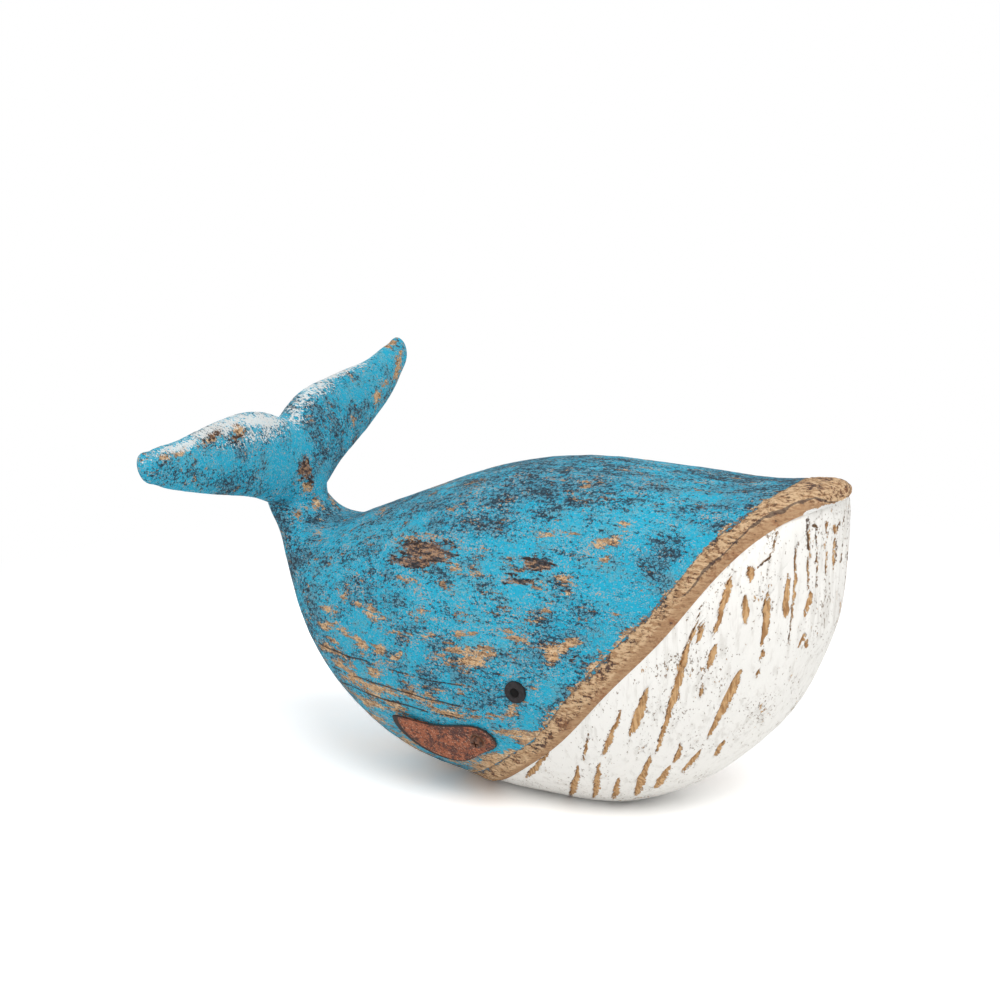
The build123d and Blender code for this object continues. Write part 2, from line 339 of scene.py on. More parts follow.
def strongest(patches: tuple[Mark, ...], pixels: np.ndarray) -> np.ndarray:
    """The strongest of several patches.

    Args:
        patches: The patches.
        pixels: Points in the photograph's pixels.

    Returns:
        A value for each point.
    """
    value = np.zeros(pixels.shape[:-1])
    for patch in patches:
        value = np.maximum(value, patch.strength(pixels))
    return value


WOOD_MARKS = marks(
    (334, 640, 16, 6, 52, 0.9), (348, 664, 22, 6, 45, 0.9), (370, 688, 26, 6, 38, 0.9),
    (362, 652, 14, 5, 35, 0.8), (388, 672, 16, 5, 25, 0.7), (396, 706, 24, 5, 24, 0.8),
    (418, 537, 30, 4, 0, 0.9), (460, 504, 12, 5, -30, 0.6), (540, 536, 14, 5, -12, 0.9),
    (573, 532, 16, 5, -15, 0.8), (606, 543, 20, 6, -4, 1.3), (606, 560, 11, 6, -40, 1.0),
    (456, 565, 8, 6, 40, 0.8), (470, 574, 10, 5, 20, 0.6), (487, 549, 10, 7, 0, 0.5),
    (404, 578, 14, 4, 10, 0.9), (421, 612, 8, 7, 0, 0.9), (417, 620, 12, 3, 35, 0.9),
    (463, 609, 12, 5, 15, 0.9), (472, 622, 16, 5, 15, 0.9), (462, 634, 15, 5, 0, 1.0),
    (501, 609, 9, 10, 0, 0.6), (546, 612, 10, 8, 0, 0.7), (512, 634, 18, 4, 22, 0.9),
    (570, 593, 9, 8, 40, 0.8), (561, 577, 12, 4, 5, 0.7), (589, 477, 16, 5, 0, 0.7),
    (559, 477, 12, 4, 0, 0.6), (584, 486, 16, 3, -12, 0.8), (479, 489, 10, 6, -35, 0.7),
    (344, 596, 10, 5, 0, 0.9), (328, 610, 9, 7, 20, 0.9), (358, 604, 10, 5, 50, 1.0),
    (372, 616, 20, 7, 42, 1.3), (388, 628, 9, 5, 30, 0.9), (423, 635, 12, 5, 0, 0.8),
    (345, 632, 12, 5, 35, 1.1), (360, 643, 14, 5, 45, 1.1), (326, 627, 7, 7, 30, 0.9),
    (379, 650, 8, 8, 0, 1.0), (396, 657, 12, 5, -30, 1.1), (378, 666, 10, 5, 0, 0.9),
    (373, 674, 8, 7, 30, 1.2), (326, 648, 12, 5, 25, 1.0), (340, 665, 12, 6, 55, 1.1),
    (352, 675, 16, 5, 30, 1.2), (372, 688, 34, 6, 20, 1.3), (415, 697, 32, 5, 12, 1.1),
    (378, 706, 26, 5, 18, 1.1), (452, 714, 34, 5, 12, 1.2), (449, 653, 16, 7, -8, 1.1),
    (468, 661, 18, 5, 5, 1.3), (445, 664, 12, 5, 0, 0.9), (462, 688, 14, 6, 20, 0.9),
    (440, 690, 10, 5, 0, 0.8), (486, 653, 12, 8, 0, 0.9), (386, 728, 26, 12, 38, 0.8),
    (410, 746, 30, 7, 28, 1.0), (552, 655, 8, 12, 10, 1.2), (566, 646, 15, 6, -42, 1.1),
    (537, 685, 7, 5, 20, 0.9), (510, 714, 10, 9, -45, 1.0), (520, 737, 20, 6, 15, 1.2),
    (505, 733, 12, 6, 0, 0.9), (500, 766, 26, 10, 12, 1.9), (535, 748, 9, 9, 30, 0.9),
    (460, 757, 34, 8, 15, 1.3), (492, 716, 12, 4, 0, 0.8), (511, 677, 7, 3, 0, 0.7),
    (526, 700, 4, 7, 30, 0.9), (622, 526, 7, 6, 0, 0.6), (640, 588, 10, 6, 30, 0.6), (612, 612, 8, 6, 0, 0.6),
    (545, 712, 6, 6, 0, 0.7), (598, 655, 6, 9, 30, 0.8), (380, 690, 110, 46, 20, 0.28),
    (520, 620, 90, 40, 0, 0.18), (302, 508, 8, 14, 20, 0.7), (308, 489, 8, 14, -15, 1.0),
    (318, 503, 8, 8, 30, 0.9), (316, 532, 8, 8, 0, 0.6), (400, 362, 4, 22, 12, 1.2),
    (390, 343, 14, 5, -35, 1.0), (378, 395, 6, 9, 25, 1.1), (386, 384, 4, 7, 20, 1.0),
    (210, 438, 14, 6, -35, 1.1), (238, 433, 8, 10, 20, 1.0), (166, 456, 12, 5, -15, 1.0),
    (180, 453, 8, 4, -20, 0.8), (352, 421, 7, 5, 0, 0.6), (455, 478, 22, 4, -25, 0.5),
    (385, 508, 20, 4, -18, 0.5),
)
# Dark marks: grime, with some marks of painted shade, as noted row by row
DARK_MARKS = marks(
    # painted shade along the top of the back: the first four marks
    (520, 471, 55, 7, -8, 0.9), (610, 465, 60, 7, 2, 1.1), (690, 475, 60, 7, 5, 1.1),
    (752, 483, 40, 6, 6, 1.0), (547, 503, 18, 8, 10, 1.0), (568, 500, 16, 5, 8, 1.0),
    (603, 505, 22, 8, 5, 1.0), (540, 516, 12, 8, 0, 0.9), (484, 518, 12, 7, -20, 0.8),
    (499, 505, 10, 7, 0, 0.8), (493, 526, 14, 6, 0, 0.8), (485, 591, 10, 14, 20, 0.9),
    (441, 582, 7, 8, 0, 0.9), (502, 608, 14, 12, 0, 0.8), (563, 549, 12, 6, 0, 0.7), (577, 552, 8, 8, 0, 0.7),
    (589, 523, 8, 7, 0, 0.6), (549, 632, 16, 14, 0, 0.8), (350, 556, 22, 14, 0, 0.7),
    (673, 551, 14, 12, -20, 1.1), (660, 543, 10, 6, 0, 0.8), (716, 533, 12, 8, -35, 0.8),
    (352, 575, 16, 14, 20, 0.6), (444, 618, 8, 18, 10, 0.7), (448, 640, 7, 12, 0, 0.8),
    (402, 641, 6, 8, 0, 0.9), (358, 655, 6, 6, 0, 0.8), (325, 450, 12, 12, -20, 1.1),
    (306, 466, 6, 12, 0, 1.1), (346, 425, 16, 26, 40, 0.6), (385, 414, 6, 22, 35, 0.7),
    (281, 508, 10, 16, 35, 1.0), (290, 545, 7, 60, -4, 0.7), (308, 625, 8, 30, -15, 0.9),
    # painted shade on the near fluke's lower part: the three marks of this row
    (200, 474, 66, 13, 4, 0.9), (165, 468, 24, 6, 5, 0.5), (245, 476, 24, 10, 10, 0.7),
    (232, 444, 10, 6, 0, 0.7), (210, 437, 14, 7, -30, 0.7), (540, 745, 12, 6, -45, 1.1),
    (560, 702, 8, 12, 40, 0.9), (575, 678, 8, 8, 0, 0.8), (620, 645, 9, 14, 45, 0.8),
    (590, 610, 12, 10, 0, 0.5), (560, 585, 20, 10, 0, 0.6), (494, 680, 8, 10, 0, 0.6),
    (480, 700, 10, 8, 0, 0.5), (640, 497, 30, 8, 8, 0.6), (690, 505, 20, 10, 15, 0.5),
    (812, 486, 12, 5, -5, 0.8), (838, 483, 16, 5, 10, 1.2), (735, 541, 7, 5, -30, 1.1),
    (664, 605, 8, 6, -40, 1.0), (748, 508, 12, 3, -15, 0.8), (608, 668, 8, 7, -45, 1.0),
    (582, 703, 8, 6, -45, 0.9), (530, 487, 20, 8, 0, 0.5), (400, 520, 26, 5, -18, 0.5),
)
CLEAN_MARKS = marks(
    (222, 464, 22, 12, 0, 0.8), (418, 522, 16, 8, -15, 0.8), (512, 549, 14, 7, 0, 1.0),
    (487, 566, 12, 6, 0, 0.9), (519, 594, 9, 12, 0, 0.8), (614, 575, 26, 16, -30, 1.2),
    (640, 600, 16, 24, 45, 1.1), (606, 600, 10, 12, 0, 0.7), (574, 522, 9, 10, 0, 0.8),
    (590, 510, 8, 8, 0, 0.4), (359, 626, 8, 14, -25, 1.2), (345, 643, 12, 6, 30, 1.2),
    (373, 637, 10, 8, 20, 1.1), (359, 669, 6, 10, -30, 1.1), (389, 682, 8, 9, -20, 1.2),
    (412, 658, 8, 12, 0, 1.0), (448, 679, 7, 7, 0, 1.0), (446, 703, 8, 6, 10, 1.0),
    (418, 714, 10, 4, 10, 1.0), (598, 640, 16, 16, 0, 1.0), (560, 628, 6, 10, 0, 0.5),
    (505, 748, 8, 5, 20, 1.0), (530, 722, 8, 12, 20, 1.2), (550, 690, 10, 10, 0, 0.9),
    (675, 575, 16, 10, -45, 1.2), (700, 545, 14, 8, -40, 1.1), (720, 500, 22, 7, 0, 0.8),
    (690, 530, 10, 8, 0, 0.9), (281, 462, 20, 16, 0, 0.8), (298, 441, 10, 14, 0, 0.7),
    (322, 482, 5, 14, 0, 1.4), (355, 392, 22, 10, -25, 0.6), (290, 500, 8, 6, 0, 0.8),
    (385, 356, 10, 10, 0, 0.5), (470, 725, 16, 6, 0, 0.6),
)
KNOT_MARKS = marks(
    (426, 552, 26, 11, 4, 1.2), (411, 561, 22, 6, 5, 1.0), (536, 565, 16, 7, 2, 1.1),
    (517, 571, 14, 4, -8, 0.7), (517, 582, 18, 3, 0, 0.8), (306, 471, 6, 13, -15, 0.9),
    (575, 657, 12, 3, -45, 0.5), (214, 434, 14, 4, -32, 0.7), (236, 438, 8, 5, -20, 0.7),
)
LINE_MARKS = marks(
    (385, 684, 76, 34, 16, 1.4), (330, 645, 26, 14, 30, 0.9),
)
WHITE_MARKS = marks(
    (222, 427, 36, 9, -24, 1.3), (258, 420, 30, 8, 4, 1.3), (180, 447, 34, 6, -20, 1.2),
    (244, 438, 30, 8, -10, 0.7), (330, 374, 30, 6, -24, 1.2), (308, 390, 16, 9, -55, 1.1),
    (320, 386, 20, 8, -30, 0.8), (296, 414, 10, 14, 20, 0.7), (352, 366, 14, 5, -25, 0.9),
    (272, 432, 14, 10, 0, 0.6), (364, 358, 14, 4, -30, 0.6), (300, 400, 8, 12, 30, 0.8),
)
SPILL_MARKS = marks(
    (812, 513, 12, 4.5, -16), (828, 508, 14, 4.5, -14), (843, 503, 10, 3.5, -8),
)


@dataclass(frozen=True)
class WhaleForm:
    """The egg of the body: a fan of sections from the neck to the bow.

    A row holds crown x, crown z, keel x, keel z, half width and crown fullness, as shares
    of length, height and half width. Side-view lines hold x and z shares.
    """

    length: float = 0.260
    height: float = 0.140
    width: float = 0.116
    keel_fullness: float = 2.1
    section_shares: Shares = (
        (-0.480, 0.743, -0.583, 0.714, 0.215, 2.0),
        (-0.460, 0.703, -0.548, 0.643, 0.293, 2.0),
        (-0.427, 0.700, -0.502, 0.493, 0.474, 2.0),
        (-0.377, 0.740, -0.450, 0.321, 0.655, 2.1),
        (-0.288, 0.815, -0.379, 0.171, 0.820, 2.2),
        (-0.165, 0.910, -0.265, 0.046, 0.957, 2.3),
        (-0.027, 0.970, -0.135, 0.001, 1.000, 2.2),
        (0.135, 0.982, -0.019, -0.010, 0.990, 2.3),
        (0.288, 0.986, 0.088, -0.003, 0.914, 2.3),
        (0.400, 1.010, 0.181, 0.061, 0.767, 2.2),
        (0.423, 0.960, 0.269, 0.175, 0.595, 2.0),
        (0.423, 0.860, 0.348, 0.329, 0.414, 1.9),
        (0.421, 0.707, 0.392, 0.500, 0.233, 1.9),
        (0.420, 0.629, 0.410, 0.564, 0.086, 2.0),
        (0.418, 0.604, 0.416, 0.593, 0.017, 2.0),
    )
    mouth_shares: Shares = (
        (-0.190, -0.040), (-0.082, 0.057), (-0.012, 0.146), (0.065, 0.261), (0.158, 0.450), (0.238, 0.614),
        (0.315, 0.810), (0.377, 0.927), (0.412, 0.962), (0.460, 0.972),
    )
    lip_shares: Shares = (
        (-0.220, 0.000), (-0.104, 0.093), (-0.035, 0.182), (0.025, 0.268), (0.077, 0.386), (0.135, 0.514),
        (0.200, 0.650), (0.254, 0.779), (0.300, 0.907), (0.354, 0.996), (0.410, 1.090),
    )
    eye_shares: Pair = (0.002, 0.405)
    flipper_shares: Pair = (-0.080, 0.224)
    nose_reach: float = 0.0
    nose_reach_shares: tuple[float, ...] = (0, 0, 0, 0, 0, 0, 0, 0, 0.1, 0.65, 1, 1, 1, 1, 1)
    line_points: int = 600
    rise_points: int = 241
    search_places: int = 3001
    run_places: int = 2001
    side_grid: tuple[int, int] = (700, 500)
    side_margin: float = 0.2
    nudge: float = 0.02
    least_angle: float = 1e-3

    def rows(self) -> np.ndarray:
        """The section table with a row midway between each two of its own.

        A midway row is nine sixteenths of each near row less a sixteenth of each far one.
        """
        table = np.array(self.section_shares)
        padded = np.vstack([table[:1], table, table[-1:]])
        rows = np.empty((2 * len(table) - 1, table.shape[1]))
        rows[0::2] = table
        rows[1::2] = (9 * (table[:-1] + table[1:]) - padded[:-3] - padded[3:]) / 16
        return rows

    def last(self) -> float:
        """Place of the section at the bow."""
        return 2.0 * (len(self.section_shares) - 1)

    def sections(self, places: np.ndarray) -> tuple[np.ndarray, ...]:
        """Middle, rise, half width and crown fullness of the sections at some places.

        Args:
            places: Places along the fan, 0 at the neck and last() at the bow.

        Returns:
            Middle points, vectors from there to the crown, half widths and fullnesses.
        """
        rows = self.rows()
        read = through(np.arange(len(rows), dtype=float), rows, places)
        own = 2.0 * np.arange(len(self.nose_reach_shares))
        forward = self.nose_reach * np.interp(places, own, self.nose_reach_shares)
        crown, keel = (
            np.stack([read[:, at] * self.length + forward, 0 * places, read[:, at + 1] * self.height], -1)
            for at in (0, 2)
        )
        return (crown + keel) / 2, (crown - keel) / 2, read[:, 4] * self.width / 2, read[:, 5]

    def surface(self, places: np.ndarray, angles: np.ndarray) -> np.ndarray:
        """The body's surface as a function of place and angle.

        Each section is a superellipse: its middle, plus its rise times the fullness root of
        the cosine, plus its half width across times that of the sine.

        Args:
            places: One place for each row.
            angles: Angles from the crown towards the whale's left, a row for each place.

        Returns:
            Points, rows by columns by three.
        """
        middle, rise, half_width, crown_fullness = self.sections(places)
        cosine, sine = np.cos(angles), np.sin(angles)
        power = 2 / np.where(cosine > 0, crown_fullness[:, None], self.keel_fullness)
        high = np.sign(cosine) * np.abs(cosine) ** power
        across = np.sign(sine) * np.abs(sine) ** power
        points = middle[:, None, :] + rise[:, None, :] * high[..., None]
        points[..., 1] += half_width[:, None] * across
        return points

    def normals(self, places: np.ndarray, angles: np.ndarray) -> np.ndarray:
        """Outward directions, across the surface's own run along place and angle.

        Args:
            places: One place for each row.
            angles: Angles from the crown, a row for each place.

        Returns:
            Vectors of length one, rows by columns by three.
        """
        along = self.surface(np.minimum(places + self.nudge, self.last()), angles)
        along -= self.surface(np.maximum(places - self.nudge, 0), angles)
        round_it = self.surface(places, angles + self.nudge) - self.surface(places, angles - self.nudge)
        return unit(np.cross(along, round_it))

    def line_angles(self, places: np.ndarray, shares: Shares) -> np.ndarray:
        """The angle at which each section meets a side-view line.

        The height above the line is read up each section, from keel to crown, and the share
        of the rise where it passes zero gives the angle.

        Args:
            places: Places of the sections.
            shares: The line's points.

        Returns:
            Angles: a half turn where the line runs under the section, zero above it.
        """
        line = np.array(shares) * (self.length, self.height)
        run = added(step_lengths(line))
        dense = through(run, line, np.linspace(0, run[-1], self.line_points))
        middle, rise, _, fullness = self.sections(places)
        shares_up = np.linspace(-1, 1, self.rise_points)
        points = middle[:, None, :] + rise[:, None, :] * shares_up[None, :, None]
        above = points[..., 2] - np.interp(points[..., 0], dense[:, 0], dense[:, 1])
        before_line = points[..., 0] < dense[0, 0]
        above = np.where(before_line, np.maximum(above, MM), above)
        first = np.argmax(above > 0, axis=1)
        never = ~(above > 0).any(axis=1)
        row = np.arange(len(places))
        lower = np.maximum(first - 1, 0)
        low, high = above[row, lower], above[row, first]
        part = np.where(first > 0, -low / np.where(high - low == 0, 1, high - low), 0)
        share = shares_up[lower] + part * (shares_up[1] - shares_up[0])
        share = np.where(first == 0, -1.0, share)
        share = np.where(never, 1.0, share)
        power = np.where(share > 0, fullness, self.keel_fullness) / 2
        return np.arccos(np.clip(np.sign(share) * np.abs(share) ** power, -1, 1))

    def block_places(self, upper: Shares, lower: Shares, run_shares: np.ndarray) -> np.ndarray:
        """Places of a block's rows, at given shares of the length run along the block.

        A block spans the sections where its upper line runs over the keel and its lower
        line under the crown. The length run grows by the faster of crown and keel.

        Args:
            upper: Side-view line over the block, or none for the crown.
            lower: Side-view line under the block, or none for the keel.
            run_shares: Rising shares from 0 to 1, one for each row.

        Returns:
            Rising places.
        """
        places = np.linspace(0, self.last(), self.search_places)
        inside = np.ones(len(places), bool)
        if upper:
            inside &= self.line_angles(places, upper) < math.pi - self.least_angle
        if lower:
            inside &= self.line_angles(places, lower) > self.least_angle
        low, high = places[inside][[0, -1]]
        places = np.linspace(low, high, self.run_places)
        middle, rise, _, _ = self.sections(places)
        run = added(np.maximum(step_lengths(middle + rise), step_lengths(middle - rise)))
        return np.interp(run_shares * run[-1], run, places)

    def side_point(self, shares: Pair, side: Side) -> tuple[np.ndarray, np.ndarray]:
        """The point of the surface that a side view shows at some place.

        Args:
            shares: The place's x and z shares.
            side: The side that is looked at.

        Returns:
            The point and the outward direction there.
        """
        rows, columns = self.side_grid
        places = np.linspace(0, self.last(), rows)
        angles = np.linspace(self.side_margin, math.pi - self.side_margin, columns) * side.value
        angles = np.tile(angles, (rows, 1))
        points = self.surface(places, angles)
        target = np.array(shares) * (self.length, self.height)
        off = np.linalg.norm(points[..., [0, 2]] - target, axis=-1)
        row, column = np.unravel_index(np.argmin(off), off.shape)
        return points[row, column], self.normals(places, angles)[row, column]


def ring_quads(count: int, size: int, looped: bool) -> list[list[int]]:
    """Four-sided faces between rings of points that are numbered ring by ring.

    Args:
        count: Number of rings.
        size: Number of points on a ring.
        looped: Whether the last ring joins the first.

    Returns:
        The four point numbers of each face.
    """
    rings = np.arange(count * size).reshape(count, size)
    if looped:
        rings = np.vstack([rings, rings[:1]])
    after = np.roll(rings, -1, axis=1)
    return np.stack([rings[:-1], after[:-1], after[1:], rings[1:]], -1).reshape(-1, 4).tolist()


def keep_fields(mesh: bpy.types.Mesh, fields: Fields) -> None:
    """Keeps values on a mesh's vertices, as its attributes.

    Args:
        mesh: The mesh.
        fields: One value for each vertex and field.
    """
    for field, values in fields.items():
        kept = mesh.attributes.new(field.value, "FLOAT", "POINT")
        kept.data.foreach_set("value", values.ravel().astype(np.float32))


def shade_smooth(mesh: bpy.types.Mesh) -> None:
    """Shades every face of a mesh smooth."""
    mesh.polygons.foreach_set("use_smooth", np.ones(len(mesh.polygons), bool))


@dataclass
class Skin:
    """A closed mesh to be made: its points, its faces and the values on its points."""

    name: str
    points: np.ndarray
    faces: list[list[int]]
    fields: Fields
    sharp_deg: float = 45.0
    merge_within: float = 0.004 * MM
    least_edge: float = 0.001 * MM

    def make(self) -> Piece:
        """The piece, with doubles merged and faces turned outward and shaded smooth."""
        mesh = bpy.data.meshes.new(self.name)
        mesh.from_pydata(self.points.reshape(-1, 3).tolist(), [], self.faces)
        keep_fields(mesh, self.fields)
        work = bmesh.new()
        work.from_mesh(mesh)
        if self.merge_within:
            bmesh.ops.remove_doubles(work, verts=work.verts, dist=self.merge_within)
            bmesh.ops.dissolve_degenerate(work, edges=work.edges, dist=self.least_edge)
        bmesh.ops.recalc_face_normals(work, faces=work.faces)
        work.to_mesh(mesh)
        work.free()
        shade_smooth(mesh)
        mesh.set_sharp_from_angle(angle=math.radians(self.sharp_deg))
        return link_object(self.name, mesh)


def fanned_skin(name: str, rings: np.ndarray, fields: Fields) -> Skin:
    """A closed skin through rings of points, with its ends closed by fans.

    Args:
        name: Name of the piece.
        rings: Points, ring by place on the ring by three.
        fields: Values on the same grid.

    Returns:
        The skin.
    """
    count, size = rings.shape[:2]
    points = np.vstack([rings.reshape(-1, 3), rings[0].mean(0), rings[-1].mean(0)])
    here = np.arange(size)
    after = np.roll(here, -1)
    first, last = np.full(size, count * size), np.full(size, count * size + 1)
    last_ring = (count - 1) * size
    start = np.stack([after, here, first], -1)
    end = np.stack([here + last_ring, after + last_ring, last], -1)
    faces = ring_quads(count, size, False) + start.tolist() + end.tolist()
    kept = {
        field: np.concatenate([values.ravel(), values[0, :1], values[-1, :1]])
        for field, values in fields.items()
    }
    return Skin(name, points, faces, kept)


def dress(
    piece: Piece, finish: Finish, body: str, node: str,
) -> Piece:
    """Gives a piece its finish and body, and hides the CAD node that it stands for.

    Args:
        piece: The piece.
        finish: Its material.
        body: The CAD body that it rides on.
        node: The CAD node that it replaces.

    Returns:
        The same piece.
    """
    piece.data.materials.append(finish)
    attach(piece, body)
    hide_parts(node)
    return piece


class NodeTree:
    """A tree of shader nodes, put together one node at a time."""

    def __init__(self, tree: bpy.types.NodeTree) -> None:
        """Args:
            tree: The tree to add to.
        """
        self.tree = tree

    def feed(self, socket: Socket, value: object) -> None:
        """Links an output to an input, or sets the input's constant."""
        if isinstance(value, Socket):
            self.tree.links.new(value, socket)
        else:
            socket.default_value = value

    def add(self, kind: str, sockets: dict, out: int | str = 0, **settings: object) -> Socket:
        """Adds a node.

        Args:
            kind: Blender's name of the node's type.
            sockets: Input number or name to a constant or to an output to link.
            out: Number or name of the output wanted.
            settings: Settings of the node itself.

        Returns:
            The wanted output.
        """
        node = self.tree.nodes.new(kind)
        for key, value in settings.items():
            setattr(node, key, value)
        for key, value in sockets.items():
            self.feed(node.inputs[key], value)
        return node.outputs[out]

    def larger(self, one: object, other: object) -> Socket:
        """The larger of two values."""
        return self.add("ShaderNodeMath", {0: one, 1: other}, operation="MAXIMUM")

    def seen_directly(self) -> Socket:
        """One where the camera or a reflection looks, zero where light is gathered."""
        camera = self.add("ShaderNodeLightPath", {}, "Is Camera Ray")
        return self.larger(camera, self.add("ShaderNodeLightPath", {}, "Is Glossy Ray"))


class Shader(NodeTree):
    """A material, with the patterns and coats that the finishes are made of."""

    def __init__(self, name: str) -> None:
        """Args:
            name: Name of the material.
        """
        self.material = bpy.data.materials.new(name)
        self.material.use_nodes = True
        super().__init__(self.material.node_tree)
        self.surface = self.tree.nodes["Principled BSDF"]
        self.place = self.add("ShaderNodeTexCoord", {}, "Object")

    def noise(
        self, size: float, stretch: tuple[float, float, float] = (1, 1, 1),
        detail: float = 3, rough: float = 0.6, shift: float = 0.0,
    ) -> Socket:
        """Noise between 0 and 1 on the piece's own coordinates.

        Args:
            size: Size of the largest features, in metres.
            stretch: How many times longer they are along x, y and z.
            detail: Number of finer layers.
            rough: Strength of each finer layer against the one before.
            shift: Moves the pattern, so that two of them differ.

        Returns:
            The noise value.
        """
        scale = tuple(1 / part for part in stretch)
        where = self.add("ShaderNodeMapping", {"Vector": self.place, "Scale": scale,
                                               "Location": (shift, shift, shift)})
        return self.add("ShaderNodeTexNoise", {"Vector": where, "Scale": 1 / size,
                                               "Detail": detail, "Roughness": rough})

    def cracks(self, size: float, bend: float, reach: float) -> Socket:
        """Distance to the nearest crack of a net whose lines wander.

        Args:
            size: Size of the net's cells, in metres.
            bend: Size of the bends in its lines.
            reach: How far the lines wander.

        Returns:
            The distance, in cells.
        """
        wander = self.add("ShaderNodeTexNoise", {"Vector": self.place, "Scale": 1 / bend}, out=1)
        wander = self.add("ShaderNodeVectorMath", {0: wander, "Scale": reach}, operation="SCALE")
        bent = self.add("ShaderNodeVectorMath", {0: self.place, 1: wander}, operation="ADD")
        return self.add("ShaderNodeTexVoronoi", {"Vector": bent, "Scale": 1 / size},
                        feature="DISTANCE_TO_EDGE")

    def fields(self, *wanted: Field) -> list[Socket]:
        """Values kept on the vertices."""
        return [self.add("ShaderNodeAttribute", {}, out=2, attribute_name=one.value) for one in wanted]

    def sum(self, *parts: tuple[object, float]) -> Socket:
        """The parts added up, each times its own weight."""
        total = 0.0
        for part, weight in parts:
            total = self.add("ShaderNodeMath", {0: part, 1: weight, 2: total}, operation="MULTIPLY_ADD")
        return total

    def step(self, value: Socket, low: float, high: float) -> Socket:
        """An eased step from 0 at low to 1 at high."""
        return self.add("ShaderNodeMapRange", {0: value, 1: low, 2: high},
                        interpolation_type="SMOOTHSTEP")

    def times(self, one: object, other: object) -> Socket:
        """Product of two values."""
        return self.add("ShaderNodeMath", {0: one, 1: other}, operation="MULTIPLY")

    def steps(self, first: tuple, *others: tuple) -> Socket:
        """Product of eased steps, each given as a value, its low and its high."""
        product = self.step(*first)
        for other in others:
            product = self.times(product, self.step(*other))
        return product

    def mix(self, share: object, under: object, over: object) -> Socket:
        """A colour that goes from under to over as share goes from 0 to 1."""
        return self.add("ShaderNodeMix", {0: share, 6: under, 7: over}, out=2, data_type="RGBA")

    def lay(self, under: object, over: object, most: float, *steps: tuple) -> Socket:
        """Lays one colour over another where all of some steps are passed.

        Args:
            under: The colour below.
            over: The colour laid on it.
            most: The most of what is below that it hides.
            steps: Eased steps, each given as a value, its low and its high.

        Returns:
            The colour of both.
        """
        return self.mix(self.times(self.steps(*steps), most), under, over)

    def finish(
        self, base: object, rough: float, specular: float,
        height: Socket | None = None, relief: float = 0.0,
    ) -> Finish:
        """Connects the surface.

        Args:
            base: Base colour.
            rough: Roughness.
            specular: Strength of the clear reflection.
            height: Height for the bump, from 0 to 1.
            relief: Depth that a height of 1 stands for.

        Returns:
            The material.
        """
        given = {"Base Color": base, "Roughness": rough, "Specular IOR Level": specular}
        if height is not None:
            given["Normal"] = self.add("ShaderNodeBump", {"Height": height, "Distance": relief,
                                                          "Strength": 1.0})
        for name, value in given.items():
            self.feed(self.surface.inputs[name], value)
        return self.material


